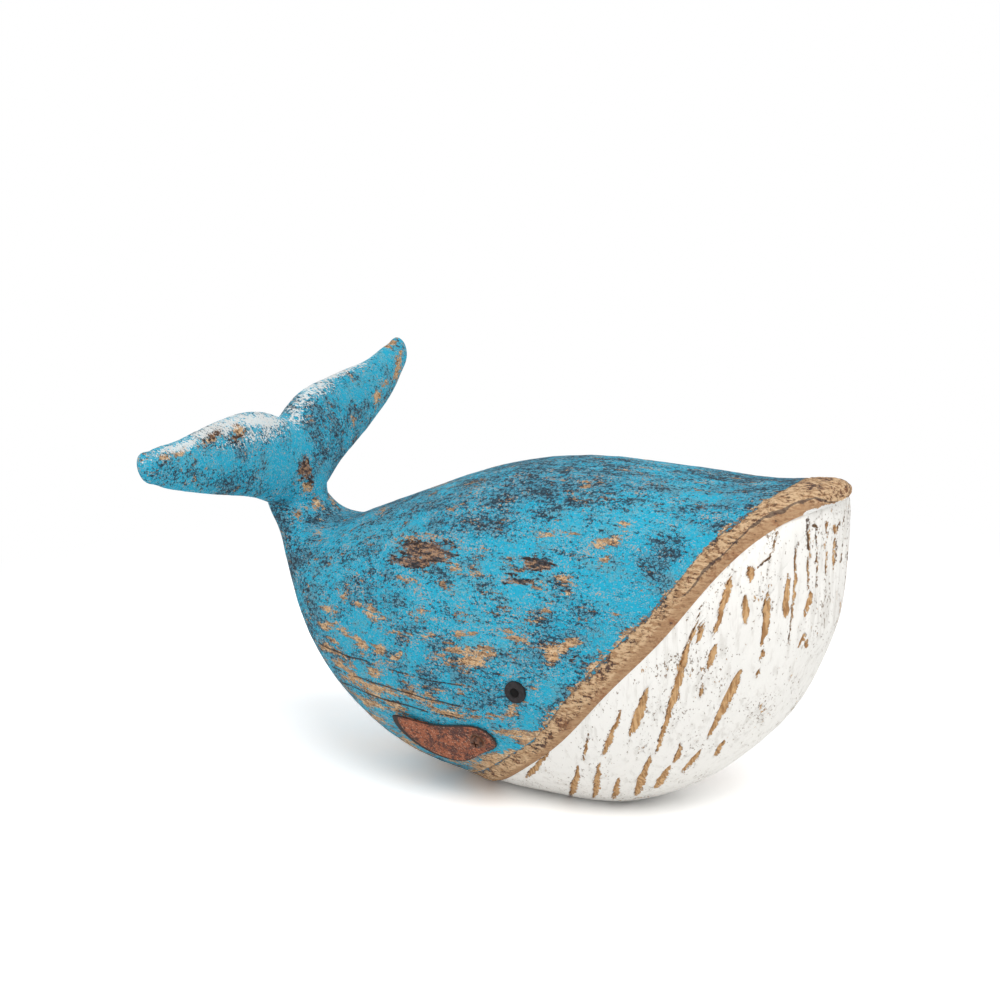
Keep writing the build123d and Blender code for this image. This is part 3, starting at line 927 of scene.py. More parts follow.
@dataclass(frozen=True)
class WeatheredBlue:
    """Blue paint over reclaimed wood, rubbed back, speckled and stained."""

    name: str = "weathered_blue_paint"
    bright: Colour = colour(38, 176, 210)
    soft: Colour = colour(96, 182, 202)
    deep: Colour = colour(34, 136, 168)
    # pale blue of the painted highlight flecks
    pale: Colour = colour(150, 206, 218)
    navy: Colour = colour(46, 80, 102)
    soot: Colour = colour(40, 48, 58)
    # grey of the haze, also laid as painted shade on upward-facing parts
    smoke: Colour = colour(88, 138, 160)
    wood: Colour = colour(208, 164, 118)
    wood_pale: Colour = colour(236, 206, 166)
    wood_deep: Colour = colour(122, 84, 56)
    knot: Colour = colour(116, 82, 62)
    knot_deep: Colour = colour(52, 38, 34)
    knot_pale: Colour = colour(192, 148, 108)
    white: Colour = colour(238, 240, 238)
    grain_heights: tuple[float, ...] = (56.0 * MM, 46.6 * MM, 40.2 * MM)
    grain_waver: float = 9 * MM
    grain_half_width: Pair = (0.55 * MM, 0.15 * MM)
    relief: float = 1.1 * MM

    def grain_lines(self, s: Shader, wobble: Socket) -> Socket:
        """Open grain: dark lines at set heights, which waver with a noise.

        Args:
            s: The shader.
            wobble: The noise.

        Returns:
            One on a line and zero away from it.
        """
        height = s.add("ShaderNodeSeparateXYZ", {0: s.place}, out=2)
        height = s.sum((height, 1.0), (wobble, self.grain_waver), (1.0, -self.grain_waver / 2))
        lines = 0.0
        for level in self.grain_heights:
            off = s.add("ShaderNodeMath", {0: height, 1: level}, operation="SUBTRACT")
            off = s.add("ShaderNodeMath", {0: off}, operation="ABSOLUTE")
            lines = s.larger(lines, s.step(off, *self.grain_half_width))
        return lines

    def make(self) -> Finish:
        """Lays grey haze, painted highlights, speckle, bare wood, stains, open grain and dry-brushed white on
        the blue; upward-facing parts get greyer paint and painted shade, and the dark marks grime and painted
        shade.
        """
        s = Shader(self.name)
        wood, dark, clean, ridge, knot, line, white, edge = s.fields(
            Field.WOOD, Field.DARK, Field.CLEAN, Field.DUST, Field.KNOT, Field.LINE, Field.WHITE,
            Field.EDGE,
        )
        cloud = s.noise(30 * MM, (1.6, 1, 1), detail=2, shift=3.1)
        blotch = s.noise(7 * MM, (1.8, 1, 1), shift=1.7)
        fleck = s.noise(1.2 * MM, (1.5, 1.2, 1), rough=0.75)
        grit = s.noise(0.75 * MM, (1.4, 1, 1), detail=2, rough=0.8, shift=5.3)
        dust = s.noise(0.9 * MM, (1.6, 1.2, 1), detail=2, rough=0.8, shift=9.4)
        streak = s.noise(4.6 * MM, (2.8, 1.2, 0.9), detail=6, rough=0.74, shift=8.9)
        run = s.noise(2.4 * MM, (7, 1.6, 1), detail=4, rough=0.65, shift=2.3)
        comb = s.noise(1.4 * MM, (6, 1.8, 0.9), rough=0.65, shift=4.8)

        paint = s.lay(self.bright, self.soft, 1.0, (s.sum((blotch, 0.6), (dust, 0.4)), 0.47, 0.60))
        shade = s.sum((fleck, -0.6), (grit, 0.9), (cloud, 0.2))
        paint = s.lay(paint, self.deep, 0.7, (shade, 0.27, 0.32))
        # painted highlights: pale flecks standing in for light on the tops of the relief
        glint = s.sum((grit, 0.8), (fleck, -0.6), (dust, 0.4), (white, 0.10))
        paint = s.lay(paint, self.pale, 0.62, (glint, 0.36, 0.43))
        # grey haze: the paint's own grey, with painted shade on upward-facing parts
        haze = s.sum((dust, 0.8), (blotch, 1.0), (cloud, 0.7), (run, 0.5), (ridge, 0.13),
                     (clean, -0.14), (dark, 0.04))
        paint = s.lay(paint, self.smoke, 0.55, (haze, 1.54, 1.60))
        speckle = s.sum((fleck, 1.0), (grit, 0.5), (blotch, 0.4), (cloud, 0.25), (comb, 0.5),
                        (dark, 0.075), (clean, -0.18), (ridge, 0.03))
        ink = s.lay(self.navy, self.soot, 1.0, (speckle, 1.40, 1.54))
        paint = s.lay(paint, ink, 0.84, (speckle, 1.385, 1.415))
        crack = s.cracks(2.6 * MM, 1.6 * MM, 1.4 * MM)
        dry = s.sum((blotch, 0.5), (dust, 0.6), (cloud, 0.4), (dark, 0.08), (clean, -0.08))
        paint = s.lay(paint, self.soot, 0.75, (crack, 0.075, 0.03), (dry, 0.75, 0.80))

        bare = s.lay(self.wood_pale, self.wood, 1.0, (fleck, 0.44, 0.58))
        bare = s.lay(bare, self.wood_deep, 0.75, (s.sum((grit, 0.5), (comb, 0.8)), 0.655, 0.70))
        rubbed = s.sum((streak, 0.8), (comb, 0.5), (blotch, 0.25), (dust, 0.40), (wood, 0.200),
                       (clean, -0.08), (edge, 0.20))
        worn = s.step(rubbed, 1.12, 1.14)
        base = s.mix(s.times(worn, 0.94), paint, bare)
        base = s.lay(base, self.wood_deep, 0.55, (rubbed, 1.105, 1.12), (rubbed, 1.145, 1.13))
        crumb = s.sum((grit, -1.0), (streak, 0.6), (blotch, -0.3), (wood, 0.10), (clean, -0.08))
        base = s.lay(base, self.wood, 0.75, (crumb, -0.215, -0.18))
        base = s.lay(base, self.soot, 0.7, (s.sum((speckle, 1.0), (dust, 0.3)), 1.655, 1.69))

        soaked = s.sum((streak, 0.6), (comb, 0.5), (fleck, 0.4), (knot, 0.30))
        stain = s.steps((soaked, 0.84, 0.90), (knot, 0.06, 0.25))
        burnt = s.lay(self.knot, self.knot_deep, 1.0, (s.sum((comb, 0.7), (fleck, 0.5)), 0.56, 0.66))
        burnt = s.lay(burnt, self.knot_pale, 0.7, (s.sum((comb, -0.6), (dust, 0.6)), 0.02, 0.06))
        base = s.mix(s.times(stain, 0.92), base, burnt)
        lines = s.times(self.grain_lines(s, cloud), s.step(line, 0.25, 0.5))
        lines = s.times(lines, s.step(s.sum((blotch, 1.0), (fleck, 0.4)), 0.60, 0.68))
        base = s.mix(s.times(lines, 0.85), base, self.knot_deep)

        brushed = s.sum((dust, 0.8), (blotch, 0.3), (white, 0.20), (wood, -0.10), (knot, -0.15))
        base = s.lay(base, self.white, 0.86, (brushed, 0.635, 0.715), (white, 0.03, 0.2))
        height = s.sum((worn, -0.18), (fleck, 0.8), (grit, 0.4), (blotch, 0.5), (comb, 0.4),
                       (lines, -0.3), (stain, -0.2))
        return s.finish(base, 0.8, 0.2, height, self.relief)


@dataclass(frozen=True)
class WhiteThroat:
    """Thick white paint, cut through to the wood by the carver's gouge."""

    name: str = "white_throat_paint"
    white: Colour = colour(245, 243, 238)
    shade: Colour = colour(228, 225, 219)
    wood: Colour = colour(216, 176, 128)
    wood_deep: Colour = colour(172, 130, 88)
    dirt: Colour = colour(84, 66, 54)
    pit: Colour = colour(136, 114, 94)
    relief: float = 0.5 * MM

    def make(self) -> Finish:
        """Lays gouged wood, darkening along each cut's steep wall, chips and small pits over the white."""
        s = Shader(self.name)
        gash, wall = s.fields(Field.GASH, Field.DIRT)
        fine = s.noise(1.5 * MM, (1, 1, 1.6), rough=0.7)
        grit = s.noise(0.8 * MM, detail=2, rough=0.8, shift=4.4)
        cloud = s.noise(16 * MM, shift=1.9)
        chips = s.noise(2.6 * MM, (0.8, 0.8, 2.2), rough=0.7, shift=6.2)
        brush = s.noise(2.6 * MM, (1, 1, 9), detail=4, shift=7.7)
        speck = s.noise(1.0 * MM, (1, 1, 1.8), detail=2, rough=0.7, shift=8.3)
        fibre = s.noise(1.2 * MM, (0.9, 0.9, 6), shift=5.1)
        paint = s.lay(self.white, self.shade, 1.0, (s.sum((cloud, 0.2), (brush, 0.8)), 0.49, 0.66))
        pits = s.step(s.sum((speck, 1.0), (grit, 0.4), (cloud, 0.45)), 1.088, 1.118)
        paint = s.mix(s.times(pits, 0.85), paint, self.pit)
        bare = s.lay(self.wood, self.wood_deep, 1.0, (s.sum((fibre, 0.7), (fine, 0.3)), 0.43, 0.57))
        chipped = s.step(s.sum((chips, 1.0), (cloud, 0.5), (grit, 0.2)), 1.045, 1.07)
        reach = s.sum((gash, 0.1), (fine, 0.7), (grit, 0.3), (1.0, -0.50))
        cut = s.larger(s.step(reach, -0.015, 0.03), s.times(chipped, 0.9))
        base = s.mix(cut, paint, bare)
        # darker along each cut's steep wall
        dirt = s.sum((wall, 0.30), (fine, 1.0), (grit, 0.4))
        base = s.lay(base, self.dirt, 0.85, (dirt, 0.88, 0.96), (wall, 0.2, 0.5))
        height = s.sum((cut, -0.5), (pits, -0.5), (fine, 0.3), (brush, 0.6))
        return s.finish(base, 0.75, 0.2, height, self.relief)


@dataclass(frozen=True)
class BareLip:
    """Bare wood of the lip, rasped across, with a smoother edge towards the throat."""

    name: str = "rasped_bare_wood"
    wood: Colour = colour(178, 139, 103)
    wood_pale: Colour = colour(226, 193, 154)
    wood_deep: Colour = colour(108, 80, 62)
    # dark grey: grime on the wood, and painted shade in the crease and along the top edge
    grime: Colour = colour(68, 62, 64)
    blue: Colour = colour(60, 158, 190)
    edge: Colour = colour(182, 142, 106)
    ruddy: Colour = colour(172, 112, 76)
    white: Colour = colour(246, 245, 241)
    relief: float = 1.1 * MM

    def make(self) -> Finish:
        """Shades the rasp marks, the chamfer and the paint that runs over the top edge, with painted shade in
        the crease and along the top edge.
        """
        s = Shader(self.name)
        band, dark, fold, spilt = s.fields(Field.BAND, Field.DARK, Field.CREASE, Field.WHITE)
        fine = s.noise(1.3 * MM, rough=0.75)
        grit = s.noise(0.8 * MM, detail=2, rough=0.8, shift=3.3)
        blotch = s.noise(6 * MM, shift=6.1)
        rasp = s.noise(1.1 * MM, (3.2, 1.6, 0.9), detail=4, rough=0.72, shift=8.2)
        bare = s.lay(self.wood_pale, self.wood, 1.0, (rasp, 0.42, 0.58))
        torn = s.sum((fine, 0.6), (rasp, 0.6), (blotch, 0.5))
        bare = s.lay(bare, self.wood_deep, 0.8, (torn, 0.87, 0.93))
        bare = s.lay(bare, self.edge, 0.7, (s.sum((band, 1.0), (fine, 0.12)), 0.68, 0.84))
        bare = s.lay(bare, self.ruddy, 0.33, (s.sum((blotch, 0.8), (fine, 0.3)), 0.58, 0.68))
        soot = s.sum((fine, 0.8), (rasp, 0.6), (blotch, 0.5), (dark, 0.13), (band, -0.08))
        bare = s.lay(bare, self.grime, 0.75, (soot, 1.03, 1.09))
        # painted shade in the crease near the snout
        bare = s.lay(bare, self.grime, 0.7, (s.sum((fold, 1.0), (fine, 1.2)), 1.08, 1.34))
        # painted shade along the top edge, in the recess under the blue paint
        shade = s.sum((band, -1.0), (fine, 0.5), (blotch, 0.5))
        bare = s.lay(bare, self.grime, 0.7, (shade, 0.37, 0.44))
        over = s.sum((band, -1.1), (fine, 0.9), (grit, 0.4), (blotch, 0.8))
        base = s.lay(bare, self.blue, 0.9, (over, 1.07, 1.11))
        spill = s.sum((spilt, 1.0), (fine, 0.7), (grit, 0.3))
        base = s.lay(base, self.white, 1.0, (spill, 0.98, 1.04))
        height = s.sum((fine, 0.6), (grit, 0.3), (rasp, 1.0))
        return s.finish(base, 0.85, 0.12, height, self.relief)


@dataclass(frozen=True)
class RustedSheet:
    """Sheet steel rusted through its paint, pitted all over."""

    name: str = "rusted_sheet_steel"
    rust: Colour = colour(166, 94, 62)
    rust_deep: Colour = colour(84, 44, 34)
    fleck: Colour = colour(222, 184, 156)
    scale: Colour = colour(44, 33, 30)
    worn: Colour = colour(150, 116, 92)
    relief: float = 0.8 * MM

    def make(self) -> Finish:
        """Shades rust, pale flecks, dark scale, painted shade along the edge and a rubbed front end."""
        s = Shader(self.name)
        rubbed, rim = s.fields(Field.WOOD, Field.DARK)
        fine = s.noise(1.3 * MM, detail=4, rough=0.75)
        grit = s.noise(0.8 * MM, detail=2, rough=0.8, shift=2.7)
        blotch = s.noise(5 * MM, shift=4.6)
        base = s.lay(self.rust, self.rust_deep, 1.0, (s.sum((fine, 0.6), (blotch, 0.6)), 0.55, 0.66))
        base = s.lay(base, self.scale, 0.7, (s.sum((fine, 0.5), (grit, -0.6)), -0.005, 0.025))
        base = s.lay(base, self.fleck, 0.75, (grit, 0.60, 0.66))
        base = s.lay(base, self.worn, 1.0, (s.sum((rubbed, 1.0), (fine, 0.5)), 0.75, 0.95))
        # painted shade along the sheet's edge
        base = s.lay(base, self.scale, 1.0, (s.sum((rim, 1.0), (fine, 0.5)), 0.6, 0.8))
        return s.finish(base, 0.7, 0.4, s.sum((fine, 0.7), (grit, 0.4)), self.relief)


@dataclass(frozen=True)
class SmallMetal:
    """Dark or rusty metal of the small fittings."""

    name: str
    body: Colour
    tarnish: Colour
    rough: float
    specular: float = 0.25
    grain: float = 1.6 * MM
    relief: float = 0.12 * MM

    def make(self) -> Finish:
        """Breaks the metal's colour with tarnish."""
        s = Shader(self.name)
        fine = s.noise(self.grain, detail=4, rough=0.7)
        base = s.lay(self.body, self.tarnish, 1.0, (fine, 0.42, 0.62))
        return s.finish(base, self.rough, self.specular, fine, self.relief)


@dataclass(frozen=True)
class DowelWood:
    """Plain pale beech of the hidden dowels."""

    name: str = "dowel_beech"
    pale: Colour = colour(214, 182, 138)
    deep: Colour = colour(182, 144, 100)
    relief: float = 0.1 * MM

    def make(self) -> Finish:
        """Streaks the wood along the frame's X."""
        s = Shader(self.name)
        grain = s.noise(1.2 * MM, (10, 1, 1))
        return s.finish(s.mix(grain, self.pale, self.deep), 0.7, 0.3, grain, self.relief)


@dataclass(frozen=True)
class Gash:
    """A gouge cut on the throat, from one pixel of the photograph to another."""

    start: Pair
    end: Pair
    width: float
    widest: float = 0.6
    # strength of the darkening along the cut's steep wall
    grime: float = 0.72
    lead: ClassVar[float] = 0.35
    bluntness: ClassVar[float] = 0.45
    edge_range: ClassVar[Pair] = (-0.6, 1.4)
    end_range: ClassVar[Pair] = (-1, 3)
    least_width: ClassVar[float] = 0.5
    wall_place: ClassVar[float] = 0.3
    wall_width: ClassVar[float] = 1.5

    def cut(self, pixels: np.ndarray) -> tuple[np.ndarray, np.ndarray, np.ndarray]:
        """How far points lie inside the cut, its depth share and its steep wall.

        Across the cut the depth falls from 1 at the steep wall to 0 at the other edge, and
        its width swells to the widest place and closes at both ends. The wall lies a lead
        share of the width to the side of the line. The reach is the distance to the nearest
        edge, in pixels, and less than zero outside.

        Args:
            pixels: Points in the photograph's pixels.

        Returns:
            Reach, depth share and closeness to the wall.
        """
        start, run = np.array(self.start), np.array(self.end) - np.array(self.start)
        length = float(np.linalg.norm(run))
        run = run / length
        offset = pixels - start
        along = offset @ run / length
        across = offset[..., 0] * -run[1] + offset[..., 1] * run[0]
        swell = np.where(along < self.widest, along / self.widest, (1 - along) / (1 - self.widest))
        width = self.width * np.clip(swell, 0, 1) ** self.bluntness
        across = self.lead * width - across
        inside = np.minimum(along, 1 - along) * length
        reach = np.minimum(np.minimum(across, width - across), inside)
        share = np.clip(1 - across / np.maximum(width, self.least_width), 0, 1)
        depth = share * smooth_step(reach, *self.edge_range)
        wall = bell(across - self.wall_place, self.wall_width) * smooth_step(inside, *self.end_range)
        return reach, depth, wall * self.grime


GASHES = (
    Gash((730, 574), (713, 638), 8, 0.25), Gash((716, 643), (706, 672), 7, 0.4),
    Gash((702, 682), (700, 700), 4), Gash((749, 565), (750, 583), 9.5, 0.5),
    Gash((744, 595), (745, 626), 8, 0.45), Gash((768, 592), (762, 647), 8, 0.35),
    Gash((788, 573), (785, 619), 6, 0.75), Gash((798, 541), (790, 644), 2.6, 0.4),
    Gash((808, 517), (809, 551), 2.8, grime=1.4), Gash((816, 523), (818, 549), 1.8, grime=1),
    Gash((811, 522), (816, 528), 1.8, grime=1.2), Gash((809, 556), (808, 591), 2.4, 0.5),
    Gash((811, 591), (805, 620), 4, 0.4), Gash((817, 551), (817, 588), 1.6, 0.3),
    Gash((827, 520), (829, 538), 2.4, 0.5), Gash((826, 545), (827, 576), 2.0, 0.4),
    Gash((834, 525), (835, 535), 2.6, 0.5), Gash((835, 537), (834, 573), 2.6, 0.6),
    Gash((842, 526), (841, 564), 2.6, 0.6), Gash((770, 552), (769, 573), 2.0, 0.3),
    Gash((703, 621), (697, 644), 6, 0.5), Gash((757, 568), (772, 555), 2.2, grime=1),
    Gash((805, 633), (799, 649), 3.6, 0.4), Gash((808, 639), (806, 648), 3, 0.5),
    Gash((764, 649), (760, 661), 4, 0.5), Gash((760, 669), (756, 679), 3.4, 0.5),
    Gash((702, 605), (689, 644), 3.8, 0.8), Gash((691, 634), (655, 756), 7.5, 0.35),
    Gash((648, 687), (630, 736), 9.5, 0.65), Gash((741, 670), (707, 739), 8.5, 0.3),
    Gash((621, 709), (602, 757), 6, 0.7), Gash((650, 756), (634, 797), 8, 0.7),
    Gash((599, 763), (593, 799), 7, 0.7), Gash((578, 766), (570, 797), 8, 0.7),
    Gash((619, 778), (613, 799), 7, 0.7), Gash((671, 766), (654, 789), 7, 0.6),
    Gash((549, 752), (526, 778), 6, 0.7), Gash((701, 750), (682, 773), 5), Gash((725, 740), (713, 758), 4),
    Gash((777, 528), (772, 552), 2.6, 0.4), Gash((681, 743), (673, 764), 5), Gash((588, 733), (582, 762), 3),
    Gash((640, 752), (646, 745), 2),
)


@dataclass(frozen=True)
class Seat:
    """A flat let into the body's side."""

    point: np.ndarray
    normal: np.ndarray
    radius: float
    depth: float

    def press(self, points: np.ndarray) -> np.ndarray:
        """Presses points within the seat's radius down to its plane.

        Args:
            points: Points on the body.

        Returns:
            The points, none of them above the plane within the radius.
        """
        offset = points - (self.point - self.normal * self.depth)
        above = offset @ self.normal
        off_axis = np.linalg.norm(offset - above[..., None] * self.normal, axis=-1)
        lower = np.where(off_axis < self.radius, np.maximum(above, 0), 0)
        return points - lower[..., None] * self.normal


@dataclass
class BodyBlocks:
    """The back, lip and throat blocks, each a closed shell through its own rings.

    A range holds a low and a high end, and a seat its radius and depth.
    """

    form: WhaleForm
    photo: Photograph
    cut_columns: int = 8
    floor_gap: float = 0.02 * MM
    far_shift: float = 9 * MM
    crowding: float = 0.6

    dent_depth: float = 0.45 * MM
    long_strokes: LatticeNoise = LatticeNoise(11, (30 * MM, 18 * MM, 18 * MM))
    short_strokes: LatticeNoise = LatticeNoise(12, 6 * MM, 0.12 * MM)
    tool_chatter: LatticeNoise = LatticeNoise(13, (2.4 * MM, 1.8 * MM, 1.8 * MM), 0.07 * MM)

    back_grid: tuple[int, int] = (310, 296)
    ridge_range: Pair = (0.72, 0.97)
    rubbed_width: float = 5.0 * MM
    calm_neck_places: float = 3.0
    calm_edge: float = 3 * MM
    knot_depth: float = 0.5 * MM
    eye_seat: Pair = (4.4 * MM, 0.8 * MM)
    flipper_seat: Pair = (23.5 * MM, 0.4 * MM)
    neck_ease: float = 3.2 * MM
    neck_reach: float = 11 * MM

    lip_grid: tuple[int, int] = (440, 52)
    lip_crowding: float = 0.5
    lip_proud: float = 1.0 * MM
    lip_rise_share: float = 0.45
    chamfer_share: float = 0.70
    chamfer_depth: float = 1.1 * MM
    crease_depth: float = 0.35 * MM
    crease_share: float = 0.035
    crease_range: Pair = (56 * MM, 78 * MM)
    crease_faint: float = 0.3
    shadow_share: float = 0.60
    shadow_width_share: float = 0.05
    shadow_sway: tuple[LatticeNoise, ...] = (
        LatticeNoise(23, 9 * MM, 0.09), LatticeNoise(24, 3 * MM, 0.05),
    )
    rasp_depth: float = 0.45 * MM
    rasp_marks: tuple[LatticeNoise, ...] = (
        LatticeNoise(21, (1.6 * MM, 5 * MM, 1.6 * MM)),
        LatticeNoise(22, (3.4 * MM, 8 * MM, 3.4 * MM), 0.6),
    )
    rasp_end_range: Pair = (0.62, 0.74)
    lip_margins: Pair = (0.08, 0.96)
    nose_reach: float = 2.4 * MM
    nose_range: Pair = (84 * MM, 94 * MM)
    nose_band_share: float = 0.5

    throat_grid: tuple[int, int] = (262, 330)
    gash_depth: float = 1.5 * MM
    gash_outside: float = -4.0
    gash_wobble: tuple[LatticeNoise, ...] = (
        LatticeNoise(31, 5 * MM, 1.3), LatticeNoise(32, 2.2 * MM, 0.7),
    )
    pleat_pitch: float = 6.4 * MM
    pleat_depth: float = 0.45 * MM
    pleat_width: float = 0.8 * MM
    pleats_each_side: int = 7
    pleat_wander: LatticeNoise = LatticeNoise(33, 14 * MM, 0.7 * MM)
    pleat_patches: LatticeNoise = LatticeNoise(34, (9 * MM, 4 * MM, 16 * MM))
    patch_range: Pair = (-0.3, 0.5)
    throat_chatter: LatticeNoise = LatticeNoise(35, (6 * MM, 1.0 * MM, 7 * MM), 0.10 * MM)
    throat_dent_share: float = 0.6
    throat_margin: float = 0.03
    open_angle: float = 0.01

    def ease_neck(self, points: np.ndarray) -> np.ndarray:
        """Draws in the corner where the body's keel ends at the neck, as a rasp would.

        Each point moves forward by neck_ease times the square of its nearness to the corner, as
        seen from the side: 1 at the corner and 0 at neck_reach from it.

        Args:
            points: Points on the body or the tail.

        Returns:
            The moved points.
        """
        middle, rise, _, _ = self.form.sections(np.array([0.0]))
        corner = (middle - rise)[0]
        away = np.hypot(points[..., 0] - corner[0], points[..., 2] - corner[2])
        near = np.clip(1 - away / self.neck_reach, 0, 1)
        return points + np.array([self.neck_ease, 0, 0]) * (near**2)[..., None]

    def above_table(self, points: np.ndarray) -> np.ndarray:
        """Points with none of them lower than floor_gap over the table."""
        return np.stack([points[..., 0], points[..., 1], np.maximum(points[..., 2], self.floor_gap)], -1)

    def dents(self, points: np.ndarray) -> np.ndarray:
        """Depth of the carver's uneven strokes: three grains of noise, most of it inward."""
        slow = self.dent_depth * (0.5 + 0.5 * self.long_strokes.at(points))
        return slow + self.short_strokes.at(points) + self.tool_chatter.at(points)

    def paint_fields(self, pixels: np.ndarray, normals: np.ndarray) -> Fields:
        """Wear, grime and painted shade, stain and white on painted wood, from the marks, and greyer paint
        with painted shade on upward-facing parts.

        Args:
            pixels: Points in the photograph's pixels.
            normals: Outward directions there.

        Returns:
            A value for each point and field.
        """
        tables = {
            Field.WOOD: WOOD_MARKS, Field.DARK: DARK_MARKS, Field.CLEAN: CLEAN_MARKS,
            Field.KNOT: KNOT_MARKS, Field.LINE: LINE_MARKS, Field.WHITE: WHITE_MARKS,
        }
        fields = {field: strongest(patches, pixels) for field, patches in tables.items()}
        # greyer paint and painted shade where the surface faces up
        fields[Field.DUST] = smooth_step(normals[..., 2], *self.ridge_range)
        return fields

    def close(self, arcs: list[np.ndarray], values: list[Fields]) -> tuple[np.ndarray, Fields]:
        """Joins arcs of a ring by straight cuts, the last back to the first.

        Args:
            arcs: Grids of points, one for each arc.
            values: Fields on each arc.

        Returns:
            The ring grid and its fields.
        """
        share = (np.arange(self.cut_columns) + 1) / (self.cut_columns + 1)
        parts, fields = [], {key: [] for key in values[0]}
        for index, arc in enumerate(arcs):
            start, end = arc[:, -1:], arcs[(index + 1) % len(arcs)][:, :1]
            parts += [arc, start + (end - start) * share[None, :, None]]
            for key, kept in fields.items():
                edge = np.repeat(values[index][key][:, -1:], self.cut_columns, axis=1)
                kept += [values[index][key], edge]
        joined = {key: np.concatenate(kept, axis=1) for key, kept in fields.items()}
        return np.concatenate(parts, axis=1), joined

    def seats(self) -> list[Seat]:
        """The seats of eyes and flippers on both sides."""
        kinds = ((self.form.eye_shares, self.eye_seat), (self.form.flipper_shares, self.flipper_seat))
        return [Seat(*self.form.side_point(shares, side), *size) for side in Side for shares, size in kinds]

    def make_back(self, finish: Finish) -> Piece:
        """The painted back: on each section the arc over the crown, between the lip lines.

        Args:
            finish: The blue paint.

        Returns:
            The piece.
        """
        rows, columns = self.back_grid
        share = np.linspace(0, 1, rows)
        share = self.crowding * np.sin(share * math.pi / 2) + (1 - self.crowding) * share
        places = self.form.block_places((), self.form.lip_shares, share)
        edge = self.form.line_angles(places, self.form.lip_shares)
        angles = edge[:, None] * np.linspace(-1, 1, columns)[None, :]
        points = self.form.surface(places, angles)
        normals = self.form.normals(places, angles)
        fields = self.paint_fields(self.photo.near_pixels(points, self.far_shift), normals)
        fields[Field.WHITE] = np.zeros_like(fields[Field.WHITE])
        run = added(step_lengths(points, axis=1), axis=1)
        to_lip = np.minimum(run, run[:, -1:] - run)
        fields[Field.EDGE] = bell(to_lip, self.rubbed_width)
        inward = self.dents(points) * smooth_step(places, 0.0, self.calm_neck_places)[:, None]
        inward = inward + self.knot_depth * np.clip(fields[Field.KNOT], 0, 1)
        inward = inward * smooth_step(to_lip, 0, self.calm_edge)
        points = points - normals * inward[..., None]
        for seat in self.seats():
            points = seat.press(points)
        points = self.above_table(self.ease_neck(points))
        piece = fanned_skin("painted_back", *self.close([points], [fields])).make()
        return dress(piece, finish, "carving", "back_block")

    def lip_relief(self, band: np.ndarray, points: np.ndarray) -> np.ndarray:
        """Height of the lip over the body: up to proud, then the chamfer, with rasp marks.

        Args:
            band: Share of the way from the lip line to the mouth line.
            points: Points on the body there.

        Returns:
            A height for each point.
        """
        rise = self.lip_proud * smooth_step(band, 0.0, self.lip_rise_share)
        rise = rise - self.chamfer_depth * smooth_step(band, self.chamfer_share, 1.0)
        forward = smooth_step(points[..., 0], *self.crease_range)
        crease = self.crease_depth * bell(band - self.chamfer_share, self.crease_share)
        crease = crease * (self.crease_faint + (1 - self.crease_faint) * forward)
        rasp = self.rasp_depth * np.abs(sum(noise.at(points) for noise in self.rasp_marks))
        rough = 1 - smooth_step(band, *self.rasp_end_range)
        first, last = self.lip_margins
        ends = smooth_step(band, 0.0, first) * (1 - smooth_step(band, last, 1.0))
        return rise - crease - rasp * rough * ends

    def lip_fields(self, band: np.ndarray, points: np.ndarray) -> Fields:
        """Band, grime and painted shade, the crease's painted shade line and spilt white on the lip.

        Args:
            band: Share of the way from the lip line to the mouth line.
            points: Points on the lip.

        Returns:
            A value for each point and field.
        """
        pixels = self.photo.near_pixels(points, self.far_shift)
        nose = smooth_step(points[..., 0], *self.nose_range)
        sway = sum(noise.at(points) for noise in self.shadow_sway)
        # a painted shade line in the crease near the snout
        crease = bell(band - self.shadow_share + sway, self.shadow_width_share)
        return {
            Field.BAND: np.maximum(band, self.nose_band_share * nose),
            Field.DARK: strongest(DARK_MARKS, pixels),
            Field.CREASE: crease * smooth_step(points[..., 0], *self.crease_range),
            Field.WHITE: strongest(SPILL_MARKS, pixels),
        }

    def make_lip(self, finish: Finish) -> Piece:
        """The bare lip: on each section an arc a side, from the lip line to the mouth line.

        Args:
            finish: The bare wood.

        Returns:
            The piece.
        """
        rows, columns = self.lip_grid
        form = replace(self.form, nose_reach=self.nose_reach)
        share = np.linspace(0, 1, rows)
        crowded = 0.5 - 0.5 * np.cos(share * math.pi)
        share = self.lip_crowding * crowded + (1 - self.lip_crowding) * share
        places = form.block_places(form.lip_shares, form.mouth_shares, share)
        upper = form.line_angles(places, form.lip_shares)
        lower = form.line_angles(places, form.mouth_shares)
        band = np.tile(np.linspace(0, 1, columns), (rows, 1))
        arcs, values = [], []
        for side in Side:
            angles = (upper[:, None] + (lower - upper)[:, None] * band) * side.value
            points = form.surface(places, angles)
            relief = self.lip_relief(band, points)
            points = self.above_table(points + form.normals(places, angles) * relief[..., None])
            fields = self.lip_fields(band, points)
            if side is Side.LEFT:
                points = points[:, ::-1]
                fields = {key: value[:, ::-1] for key, value in fields.items()}
            arcs.append(points)
            values.append(fields)
        piece = fanned_skin("bare_lip", *self.close(arcs, values)).make()
        return dress(piece, finish, "carving", "lip_board")

